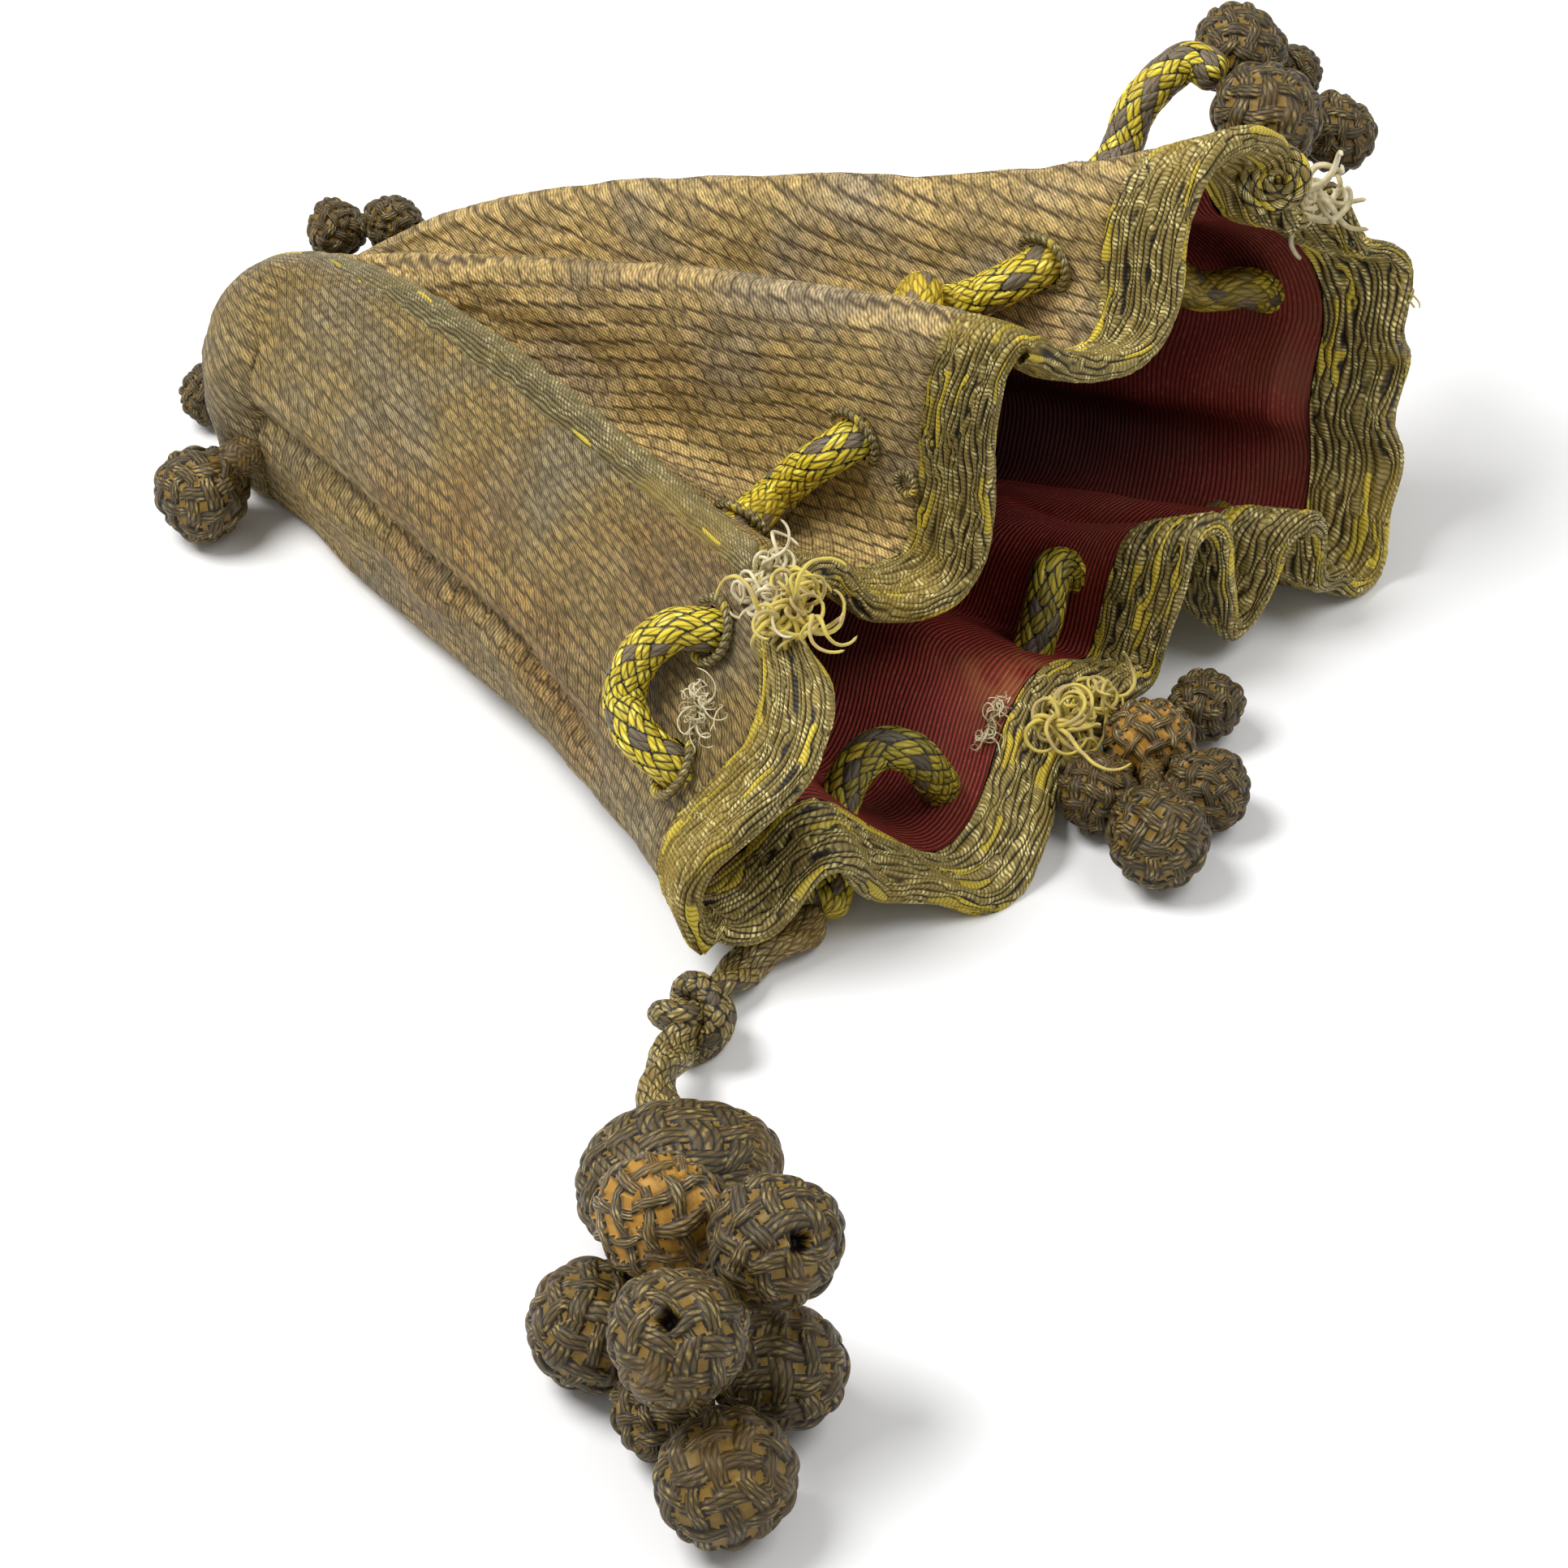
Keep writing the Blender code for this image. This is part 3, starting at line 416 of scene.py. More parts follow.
class Nodes:
    """Adds nodes to one shader tree. A value is a number, a colour or another node's output."""

    def __init__(self, tree):
        self.tree = tree

    def new(self, kind):
        return self.tree.nodes.new(kind)

    def put(self, value, socket):
        if isinstance(value, (int, float)):
            socket.default_value = value
        elif isinstance(value, tuple):
            socket.default_value = (*value, 1.0)
        else:
            self.tree.links.new(value, socket)

    def math(self, operation, *values):
        node = self.new("ShaderNodeMath")
        node.operation = operation
        for value, socket in zip(values, node.inputs):
            self.put(value, socket)
        return node.outputs[0]

    def times(self, first, *others):
        for other in others:
            first = self.math("MULTIPLY", first, other)
        return first

    def plus(self, first, second):
        return self.math("ADD", first, second)

    def ridges(self, angle):
        """One on top of each thread and nought between two threads."""
        return self.math("ABSOLUTE", self.math("SINE", angle))

    def edges(self, place, start):
        """One at both ends of a unit place, nought in its middle."""
        away = self.math("ABSOLUTE", self.math("SUBTRACT", self.times(place, 2.0), 1.0))
        return self.ramp(away, start, 1.0)

    def ramp(self, value, low, high, to_low=0.0, to_high=1.0):
        """A smooth step between two ranges."""
        node = self.new("ShaderNodeMapRange")
        node.interpolation_type = "SMOOTHSTEP"
        for number, socket in zip((value, low, high, to_low, to_high), node.inputs):
            self.put(number, socket)
        return node.outputs[0]

    def mix(self, share, first, second, blend="MIX"):
        node = self.new("ShaderNodeMix")
        node.data_type = "RGBA"
        node.blend_type = blend
        for index, value in ((0, share), (6, first), (7, second)):
            self.put(value, node.inputs[index])
        return node.outputs[2]

    def shaded(self, colour, tone):
        """A colour made lighter or darker by a number."""
        shade = self.new("ShaderNodeCombineColor")
        for socket in shade.inputs:
            self.put(tone, socket)
        return self.mix(1.0, colour, shade.outputs[0], "MULTIPLY")

    def noise(self, scale, detail=3.0):
        """Soft noise over the object's own space."""
        node = self.new("ShaderNodeTexNoise")
        self.put(scale, node.inputs["Scale"])
        self.put(detail, node.inputs["Detail"])
        self.put(self.new("ShaderNodeTexCoord").outputs["Object"], node.inputs["Vector"])
        return node.outputs["Fac"]

    def thread_place(self):
        """The two thread coordinates stored with a piece."""
        coords = self.new("ShaderNodeUVMap")
        coords.uv_map = "Threads"
        split = self.new("ShaderNodeSeparateXYZ")
        self.put(coords.outputs[0], split.inputs[0])
        return split.outputs[0], split.outputs[1]

    def tones(self):
        """The three tones stored with a piece."""
        stored = self.new("ShaderNodeVertexColor")
        stored.layer_name = "Tones"
        split = self.new("ShaderNodeSeparateColor")
        self.put(stored.outputs["Color"], split.inputs[0])
        return tuple(split.outputs)

    def seen(self):
        """One for rays that look straight at a surface, nought for its light on others."""
        rays = self.new("ShaderNodeLightPath").outputs
        return self.math("MAXIMUM", rays["Is Camera Ray"], rays["Is Glossy Ray"])


def shader_group(name, colours, numbers):
    """A new node group from colours and numbers to a colour and a height."""
    tree = bpy.data.node_groups.new(name, "ShaderNodeTree")
    for labels, kind in ((colours, "NodeSocketColor"), (numbers, "NodeSocketFloat")):
        for label in labels:
            tree.interface.new_socket(name=label, in_out="INPUT", socket_type=kind)
    tree.interface.new_socket(name="Color", in_out="OUTPUT", socket_type="NodeSocketColor")
    tree.interface.new_socket(name="Height", in_out="OUTPUT", socket_type="NodeSocketFloat")
    return Nodes(tree), tree.nodes.new("NodeGroupInput").outputs, tree.nodes.new("NodeGroupOutput").inputs


def thread_group():
    """Wrapped threads: colour and height from the piece's own thread coordinates and tones, with painted
    shade in the grooves between threads and wraps and painted glints on the thread tops.
    """
    nodes, given, leave = shader_group(
        "Wrapped threads", ("Groove shade", "Thread", "Bright", "Silk", "Stain"), ("Threads", "Twist"))
    lift, chance, silk = nodes.tones()
    across, along = nodes.thread_place()
    across = nodes.times(across, given["Threads"])
    ridge = nodes.ridges(nodes.times(across, math.pi))
    turns = nodes.plus(nodes.times(along, given["Twist"]), across)
    wrap = nodes.ridges(nodes.times(turns, math.pi))
    fine = nodes.noise(900.0, 4.0)
    broad = nodes.noise(75.0, 4.0)
    relief = nodes.times(nodes.ramp(lift, 0.1, 0.75), nodes.ramp(ridge, 0.0, 0.75))
    # Painted shade: the colour falls to the near-black groove colour between threads and where the lift tone
    # is low.
    colour = nodes.mix(relief, given["Groove shade"], given["Thread"])
    # Painted glints: the bright colour on the thread tops and wrap beads, in fine random flecks.
    painted_glint = nodes.times(relief, nodes.ramp(fine, 0.47, 0.68), nodes.ramp(wrap, 0.35, 0.95))
    colour = nodes.mix(painted_glint, colour, given["Bright"])
    colour = nodes.mix(nodes.times(nodes.ramp(broad, 0.5, 0.72), 0.7), colour, given["Stain"])
    colour = nodes.mix(nodes.times(silk, nodes.ramp(relief, 0.0, 0.5)), colour, given["Silk"])
    # The tone adds painted shade between the wraps. Its chance part is a random tone for each strand, pulled
    # down as painted shade on cords inside the bag.
    tone = nodes.times(nodes.ramp(chance, -1.2, 1.0, 0.3, 1.25), nodes.ramp(wrap, 0.0, 0.8, 0.5, 1.1))
    nodes.put(nodes.shaded(colour, tone), leave["Color"])
    nodes.put(nodes.plus(nodes.times(ridge, 0.7), nodes.times(wrap, 0.3)), leave["Height"])
    return nodes.tree


def cloth_group():
    """Bands of slanted blocks of fine threads, from distances round and along the bag in mm, with painted
    shade in the gaps between blocks and between threads, and painted light on the thread beads.
    """
    nodes, given, leave = shader_group(
        "Stitched cloth", ("Groove shade", "Thread", "Silver", "Stain"), ("Wide", "Long", "Threads", "Depth"))
    round_bag, along_bag = nodes.thread_place()
    drift = nodes.times(nodes.noise(55.0, 2.0), 1.3)
    bands = nodes.plus(nodes.math("DIVIDE", round_bag, given["Wide"]), drift)
    skew = nodes.plus(nodes.math("DIVIDE", along_bag, given["Long"]), nodes.times(bands, BLOCK_SKEW))
    block = nodes.math("FRACT", skew)
    stepped = nodes.plus(bands, nodes.times(nodes.math("SUBTRACT", block, 0.5), BLOCK_STEP))
    band = nodes.math("FRACT", stepped)
    cell = nodes.new("ShaderNodeCombineXYZ")
    nodes.put(nodes.math("FLOOR", stepped), cell.inputs[0])
    nodes.put(nodes.math("FLOOR", skew), cell.inputs[1])
    draw = nodes.new("ShaderNodeTexWhiteNoise")
    nodes.put(cell.outputs[0], draw.inputs["Vector"])
    chance = draw.outputs["Value"]
    # Painted shade: the dark gaps between bands and blocks, mixed in at the Depth share and also sunk as
    # grooves.
    side_gap = nodes.times(nodes.edges(band, 0.55), nodes.ramp(chance, 0.0, 1.0, 0.5, 1.0))
    end_gap = nodes.times(nodes.edges(block, 0.66), nodes.ramp(band, 0.95, 0.25, 0.15, 1.0),
                          nodes.ramp(chance, 1.0, 0.0, 0.3, 0.95))
    dark = nodes.math("MAXIMUM", side_gap, end_gap)
    threads = nodes.times(skew, given["Threads"])
    ridge = nodes.ridges(nodes.times(threads, math.pi))
    bead = nodes.ridges(nodes.plus(nodes.times(round_bag, 5.2), nodes.times(threads, math.pi / 2)))
    colour = nodes.mix(nodes.ramp(nodes.noise(60.0, 5.0), 0.42, 0.66), given["Thread"], given["Silver"])
    stained = nodes.times(nodes.ramp(nodes.noise(34.0, 3.0), 0.5, 0.7), 0.75)
    colour = nodes.mix(stained, colour, given["Stain"])
    # The tone is a random tone for each block plus a fine random speckle, with painted shade between the
    # threads and painted light on the beads.
    tone = nodes.times(nodes.ramp(chance, 0.0, 1.0, 0.82, 1.16), nodes.ramp(ridge, 0.0, 0.8, 0.48, 1.08),
                       nodes.ramp(bead, 0.0, 1.0, 0.66, 1.16),
                       nodes.ramp(nodes.noise(1100.0, 3.0), 0.3, 0.7, 0.62, 1.42))
    colour = nodes.mix(nodes.times(dark, given["Depth"]), nodes.shaded(colour, tone), given["Groove shade"])
    nodes.put(colour, leave["Color"])
    raised = nodes.plus(nodes.times(ridge, 0.6), nodes.times(bead, 0.25))
    nodes.put(nodes.math("SUBTRACT", raised, nodes.times(dark, 0.9)), leave["Height"])
    return nodes.tree


def base_material(name, roughness, metallic=0.0, specular=0.5):
    """A new material, its nodes and the inputs of its shader."""
    made = bpy.data.materials.new(name)
    made.use_nodes = True
    inputs = made.node_tree.nodes["Principled BSDF"].inputs
    inputs["Roughness"].default_value = roughness
    inputs["Metallic"].default_value = metallic
    inputs["Specular IOR Level"].default_value = specular
    return made, Nodes(made.node_tree), inputs


def set_look(nodes, inputs, colour, height, strength, relief):
    """Give a material's shader its colour, and bumps of a depth in millimetres."""
    bump = nodes.new("ShaderNodeBump")
    nodes.put(strength, bump.inputs["Strength"])
    nodes.put(relief * MM, bump.inputs["Distance"])
    nodes.put(height, bump.inputs["Height"])
    nodes.put(bump.outputs[0], inputs["Normal"])
    nodes.put(colour, inputs["Base Color"])


def worked_material(name, group, colours, numbers, roughness, metallic, relief):
    """A material of one of the two groups, its colours and numbers in the group's own order."""
    made, nodes, inputs = base_material(name, roughness, metallic, 0.3)
    work = nodes.new("ShaderNodeGroup")
    work.node_tree = group
    for value, socket in zip((*colours, *numbers), work.inputs):
        nodes.put(value, socket)
    set_look(nodes, inputs, work.outputs["Color"], work.outputs["Height"], 0.8, relief)
    return made


def lining_material():
    """Ribbed silk, faded and browned in patches, with painted shade between the ribs and far inside the bag,
    and painted highlights on the rib tops.
    """
    made, nodes, inputs = base_material("ribbed_silk", 0.6, 0.0, 0.2)
    rib = nodes.ridges(nodes.times(nodes.thread_place()[1], math.pi / LINING_RIB))
    patches = nodes.noise(90.0, 4.0)
    grain = nodes.noise(1500.0, 2.0)
    depth, strength, wear = nodes.tones()
    above = nodes.math("SUBTRACT", nodes.ramp(rib, 0.15, 0.9), RIB_MIDDLE)
    ribbed = nodes.plus(nodes.times(above, strength), RIB_MIDDLE)
    # Painted shade between the ribs: dark in the grooves, lighter on the rib tops.
    colour = nodes.mix(ribbed, (0.060, 0.006, 0.004), (0.235, 0.026, 0.017))
    for share, other in (
            # Painted highlights on the rib tops, in grain flecks.
            (nodes.times(nodes.ramp(grain, 0.5, 0.75), nodes.ramp(rib, 0.6, 1.0)), (0.31, 0.07, 0.045)),
            (nodes.times(nodes.ramp(patches, 0.5, 0.72), 0.75), (0.13, 0.030, 0.016)),
            (nodes.times(wear, nodes.ramp(patches, 0.42, 0.62)), (0.30, 0.10, 0.035)),
            # Painted shade far inside the bag, from the first tone.
            (nodes.times(nodes.ramp(depth, 0.0, 1.0), 0.85), (0.016, 0.0025, 0.0025))):
        colour = nodes.mix(share, colour, other)
    set_look(nodes, inputs, colour, ribbed, 0.9, 0.22)
    return made


def floss_material(name, colour, other):
    """Loose silk floss in two shades."""
    made, nodes, inputs = base_material(name, 0.55)
    inputs["Sheen Weight"].default_value = 0.3
    nodes.put(nodes.mix(nodes.ramp(nodes.noise(450.0), 0.4, 0.65), colour, other), inputs["Base Color"])
    return made


THREADS = thread_group()
CLOTH = cloth_group()
GOLD_SILK = (0.50, 0.38, 0.035)
# Name in the file, group, colours, numbers, roughness, metallic share and depth of the bumps
# In both groups the first colour is the painted shade in the grooves. The third colour of the wrapped threads
# is their painted glint.
WORKED = {
    "cloth": ("metal_thread_cloth", CLOTH, (
        (0.040, 0.023, 0.010), (0.44, 0.305, 0.108), (0.32, 0.245, 0.135), (0.25, 0.145, 0.06)),
        (*CLOTH_CELL["panel_back"], 6.0, 0.95), 0.62, 0.05, 0.16),
    "near_cloth": ("flat_metal_cloth", CLOTH, (
        (0.048, 0.028, 0.010), (0.275, 0.19, 0.062), (0.235, 0.185, 0.095), (0.235, 0.130, 0.035)),
        (*CLOTH_CELL["panel_near"], 4.0, 0.95), 0.62, 0.05, 0.24),
    "trim": ("couched_trim", THREADS, (
        (0.007, 0.004, 0.002), (0.225, 0.168, 0.045), (0.66, 0.56, 0.24), GOLD_SILK, (0.25, 0.17, 0.02)),
        (1.0, 1.9), 0.5, 0.15, 0.16),
    "seam": ("seam_braid", THREADS, (
        (0.026, 0.019, 0.008), (0.14, 0.109, 0.037), (0.38, 0.32, 0.16), GOLD_SILK, (0.20, 0.14, 0.03)),
        (1.0, 1.7), 0.5, 0.15, 0.12),
    "cord": ("yellow_cord", THREADS, (
        (0.006, 0.004, 0.002), (0.56, 0.43, 0.025), (0.80, 0.70, 0.14), (0.15, 0.115, 0.075),
        (0.42, 0.27, 0.02)), (2.0, 0.5), 0.5, 0.0, 0.12),
    "brown_cord": ("worn_cord", THREADS, (
        (0.007, 0.004, 0.002), (0.20, 0.145, 0.04), (0.48, 0.39, 0.15), (0.085, 0.062, 0.028),
        (0.19, 0.11, 0.02)), (2.0, 0.5), 0.5, 0.0, 0.12),
    "ball": ("plaited_strip", THREADS, (
        (0.006, 0.0035, 0.002), (0.074, 0.049, 0.014), (0.275, 0.20, 0.064), (0.15, 0.088, 0.012),
        (0.085, 0.048, 0.009)), (3.0, 0.9), 0.5, 0.05, 0.12),
    "amber_ball": ("worn_ball", THREADS, (
        (0.008, 0.005, 0.002), (0.14, 0.098, 0.036), (0.40, 0.31, 0.14), (0.31, 0.155, 0.018),
        (0.17, 0.09, 0.015)), (3.0, 0.9), 0.5, 0.05, 0.12),
}
MATERIALS = {key: worked_material(*values) for key, values in WORKED.items()}
MATERIALS["lining"] = lining_material()
MATERIALS["yellow_floss"] = floss_material("yellow_floss", (0.60, 0.47, 0.06), (0.42, 0.31, 0.10))
MATERIALS["cream_floss"] = floss_material("cream_floss", (0.68, 0.60, 0.38), (0.42, 0.34, 0.15))


# Meshes


@contextmanager
def opened(mesh):
    """A mesh opened for changes, and stored again after them."""
    bm = bmesh.new()
    bm.from_mesh(mesh)
    yield bm
    bm.to_mesh(mesh)
    bm.free()


def finish_mesh(name, mesh, material, nodes=(), slot=None):
    """Link a finished piece, hang it under the root and hide the purse's solids that it stands for."""
    mesh.shade_smooth()
    mesh.materials.append(MATERIALS[material])
    made = bpy.data.objects.new(name, mesh)
    bpy.context.scene.collection.objects.link(made)
    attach(made, "root")
    if nodes:
        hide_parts(*nodes)
    slot or nodes[0]
    return made


def move_points(mesh, points):
    """Move a mesh's vertices to layout points, in their own order."""
    mesh.vertices.foreach_set("co", part_frame(points).reshape(-1).astype(np.float32))
    mesh.update()


def grid_mesh(name, points):
    """A grid of faces over points in columns by rows."""
    columns, rows = points.shape[:2]
    mesh = bpy.data.meshes.new(name)
    with opened(mesh) as bm:
        bmesh.ops.create_grid(bm, x_segments=rows - 1, y_segments=columns - 1, size=1.0)
    move_points(mesh, points)
    return mesh


def face_data(mesh):
    """The vertex and the face of each face corner, and a function for means over the faces."""
    corners = np.empty(len(mesh.loops), np.int32)
    mesh.loops.foreach_get("vertex_index", corners)
    totals = np.empty(len(mesh.polygons), np.int32)
    mesh.polygons.foreach_get("loop_total", totals)
    faces = np.repeat(np.arange(len(totals)), totals)

    def mean(values):
        return np.bincount(faces, weights=values[corners], minlength=len(totals)) / totals

    return corners, faces, mean


def write_threads(mesh, across, along, lift, chance, silk):
    """Store thread coordinates and tones, one value a face corner. The shaders turn a low first tone into
    painted shade in the thread grooves, and on the lining a high one into painted shade far inside.
    """
    layer = mesh.uv_layers.new(name="Threads")
    layer.data.foreach_set("uv", np.stack([across, along], axis=1).reshape(-1).astype(np.float32))
    tones = mesh.color_attributes.new(name="Tones", type="FLOAT_COLOR", domain="CORNER")
    packed = np.stack([lift, chance, silk, np.ones_like(lift)], axis=1)
    tones.data.foreach_set("color", packed.reshape(-1).astype(np.float32))


def chance_of(first, second, seed):
    """A repeatable random number for each cell."""
    mixed = np.sin(first * 127.1 + second * 311.7 + seed * 74.7) * 43758.5453
    return mixed - np.floor(mixed)


def rounded(place, power):
    """One in the middle of a unit place, falling to nought at its edges, flatter for a high power."""
    return 1 - np.abs(2 * place - 1) ** power


def part_of(place):
    """How far a place lies into its own cell."""
    return place - np.floor(place)


def cell_height(first, second):
    """A rounded pad with a sharp groove all round."""
    return np.sqrt(np.clip(rounded(first, 4) * rounded(second, 5), 0, 1))


def keep_clear(mesh, reach):
    """Remove the faces within a reach of the cords, so that they pass through real holes."""
    spots = np.concatenate(CORD_LINES)
    reach = reach * MM
    low, high = spots.min(0) - reach, spots.max(0) + reach
    with opened(mesh) as bm:
        doomed = []
        for face in bm.faces:
            centre = np.array(face.calc_center_median())
            if (centre > low).all() and (centre < high).all():
                if ((spots - centre) ** 2).sum(axis=1).min() < reach**2:
                    doomed.append(face)
        bmesh.ops.delete(bm, geom=doomed, context="FACES")


def turn_outward(mesh, points, normals):
    """Turn a grid's faces over if they point against the normals of its points."""
    flat_points = part_frame(points).reshape(-1, 3)
    flat_normals = normals.reshape(-1, 3)
    with opened(mesh) as bm:
        bm.faces.ensure_lookup_table()
        votes = 0.0
        for k in range(0, len(bm.faces), max(1, len(bm.faces) // 60)):
            spot = np.array(bm.faces[k].calc_center_median())
            nearest = int(np.argmin(((flat_points - spot) ** 2).sum(axis=1)))
            votes += float(np.dot(np.array(bm.faces[k].normal), flat_normals[nearest]))
        if votes < 0:
            bmesh.ops.reverse_faces(bm, faces=bm.faces)


def close_round(mesh):
    """Join the two edges of a grid that goes all the way round."""
    with opened(mesh) as bm:
        bmesh.ops.remove_doubles(bm, verts=bm.verts, dist=1e-6)


def recalculate(mesh):
    """Point the faces of a closed piece outwards."""
    with opened(mesh) as bm:
        bmesh.ops.recalc_face_normals(bm, faces=bm.faces)


# Cloth


def bag_rows(end):
    """Rows from the base tip to an end row, evenly spaced along the cloth."""
    body = np.linspace(0, end, max(2, round(end * RIB_LENGTH / ROW_STEP)))
    return np.concatenate([np.linspace(-1, 0, CAP_ROWS, endpoint=False), body])


def seam_shares(seam, distance, rows):
    """Shares round the rim at a distance from a seam, for every row."""
    u = SURFACE.rib_at[SEAMS[seam]]
    coarse = np.linspace(-1, 1, 41)
    found = [SURFACE.step_round(u, row, distance) for row in coarse]
    return np.interp(rows, coarse, found)


def walk(points, axis):
    """Distance walked along one way of a grid of points."""
    steps = np.linalg.norm(np.diff(points, axis=axis), axis=2)
    start = np.zeros_like(np.take(steps, [0], axis=axis))
    return np.concatenate([start, np.cumsum(steps, axis=axis)], axis=axis)


def shares_between(left, right, count):
    """Columns of shares round the rim, evenly spaced from one edge to another in every row."""
    right = np.where(right < left, right + 1.0, right)
    share = np.linspace(0, 1, count)[:, None]
    return left[None, :] + (right - left)[None, :] * share


def on_sheet(shares, rows):
    """Places of a grid of columns by rows on the surface, with their points and normals."""
    places = np.broadcast_to(rows[None, :], shares.shape)
    return places, SURFACE.at(shares, places), SURFACE.normal(shares, places)


def add_panel(name, before, after, columns, seed):
    """One outer panel between two seams, its metal thread in slanted blocks."""
    rows = bag_rows(CLOTH_END + 1.4 / RIB_LENGTH)
    edge = BRAID_WIDTH / 2 - 0.9
    shares = shares_between(seam_shares(before, edge, rows), seam_shares(after, -edge, rows), columns)
    places, base, normals = on_sheet(shares, rows)
    around = walk(base, 0)
    around = around - around[columns // 2][None, :]
    along = walk(base, 1)
    band, block = stitch_place(around, along, CLOTH_CELL[name])
    height = CLOTH_RELIEF[name] * pad_height(band, block)
    creases = (soft_noise(shares.shape, (16, 11), seed + 2) * 0.42
               + soft_noise(shares.shape, (44, 30), seed + 3) * 0.2)
    if name == "panel_near":
        creases = creases + near_fold_line(shares, places, base)
    fade = np.clip((1 - np.abs(np.linspace(-1, 1, columns))[:, None]) / 0.06, 0, 1)
    tucked = np.clip((rows - CLOTH_END + 0.6 / RIB_LENGTH) * RIB_LENGTH / 1.8, 0, 1)[None, :]
    points = base + normals * (OUTSIDE - 0.1 + height + creases * fade - 0.9 * tucked)[..., None]
    mesh = grid_mesh(name + "_cloth", points)
    corners = face_data(mesh)[0]
    ones = np.ones(len(corners))
    write_threads(mesh, around.reshape(-1)[corners], along.reshape(-1)[corners], ones, ones, ones)
    keep_clear(mesh, CORD_RADIUS + CLOTH_ROOM)
    turn_outward(mesh, points, normals)
    finish_mesh(name + "_cloth", mesh, "near_cloth" if name == "panel_near" else "cloth", (name,))


def near_fold_line(shares, places, base):
    """The long soft crease down the near panel: a groove with a swell over it."""
    marks = np.array([(SURFACE.rib_at[rib] + step / SURFACE.perimeter, 1 - behind / RIB_LENGTH)
                      for rib, step, behind in FOLD_LINE])
    line = np.interp(places[0], marks[:, 1], marks[:, 0]) + 1.0
    aim = np.abs(shares - line[None, :]).argmin(axis=0)
    walked = walk(base, 0)
    off = walked - walked[aim, np.arange(len(aim))][None, :]
    strength = np.clip(np.minimum(places + 0.1, 0.8 - places) / 0.2, 0, 1)
    return strength * (-2.1 * np.exp(-(off / 1.5) ** 2) + 1.1 * np.exp(-((off - 4.2) / 2.6) ** 2)
                       + 0.6 * np.exp(-((off + 4.0) / 2.4) ** 2))


def stitch_place(around, along, size):
    """Where a place lies across its band and along its block, each from 0 to 1."""
    band = around / size[0]
    skew = along / size[1] + band * BLOCK_SKEW
    block = part_of(skew)
    return part_of(band + (block - 0.5) * BLOCK_STEP), block


def pad_height(band, block):
    """A flat pad with rounded edges and a lower end."""
    return np.sqrt(np.clip(rounded(band, 5), 0, 1)) * (1 - 0.35 * np.abs(2 * block - 1) ** 6)


def add_seam(seam, seed):
    """A flat braid of lengthwise threads over a seam."""
    name = f"seam_braid_{seam}"
    rows = bag_rows(CLOTH_END + 1.0 / RIB_LENGTH)
    threads = round((BRAID_WIDTH - 0.4) / BRAID_THREAD)
    columns = threads * THREAD_COLUMNS + 1
    edge = BRAID_WIDTH / 2 - 0.1
    shares = shares_between(seam_shares(seam, -edge, rows), seam_shares(seam, edge, rows), columns)
    base, normals = on_sheet(shares, rows)[1:]
    along = walk(base, 1)
    across = np.broadcast_to(np.linspace(0, threads, columns)[:, None], shares.shape)
    across = across + soft_noise(shares.shape, (6, 60), seed) * 0.42
    ridge = np.abs(np.sin(math.pi * across))
    ease = np.sqrt(np.clip(1 - np.abs(np.linspace(-1, 1, columns)) ** 8, 0, 1))[:, None]
    waver = soft_noise(shares.shape, (3, 40), seed + 1) * 0.15
    height = OUTSIDE - 0.35 + ease * (0.42 + 0.34 * ridge) + waver
    height = height - 0.8 * np.clip((rows - CLOTH_END) * RIB_LENGTH / 1.0, 0, 1)[None, :]
    points = base + normals * height[..., None]
    mesh = grid_mesh(name + "_threads", points)
    corners, faces, mean = face_data(mesh)
    across, along = across.reshape(-1), along.reshape(-1)
    thread = np.floor(mean(across))
    stretch = np.floor(mean(along) / 3.1 + thread * 0.37)
    # The lift tone is low between threads, and the shader turns that into painted shade.
    lift = 0.25 + 0.75 * np.abs(np.sin(math.pi * across[corners]))
    outer = np.minimum(thread, threads - 1 - thread) < 1.5
    silk = (chance_of(thread, stretch, seed) > np.where(outer, 0.93, 0.985)).astype(float)
    chance = chance_of(thread, stretch * 0.5, seed + 3)
    write_threads(mesh, across[corners], along[corners], lift, chance[faces], silk[faces] * 0.85)
    keep_clear(mesh, CORD_RADIUS + BRAID_ROOM)
    turn_outward(mesh, points, normals)
    finish_mesh(name + "_threads", mesh, "seam", (name,))


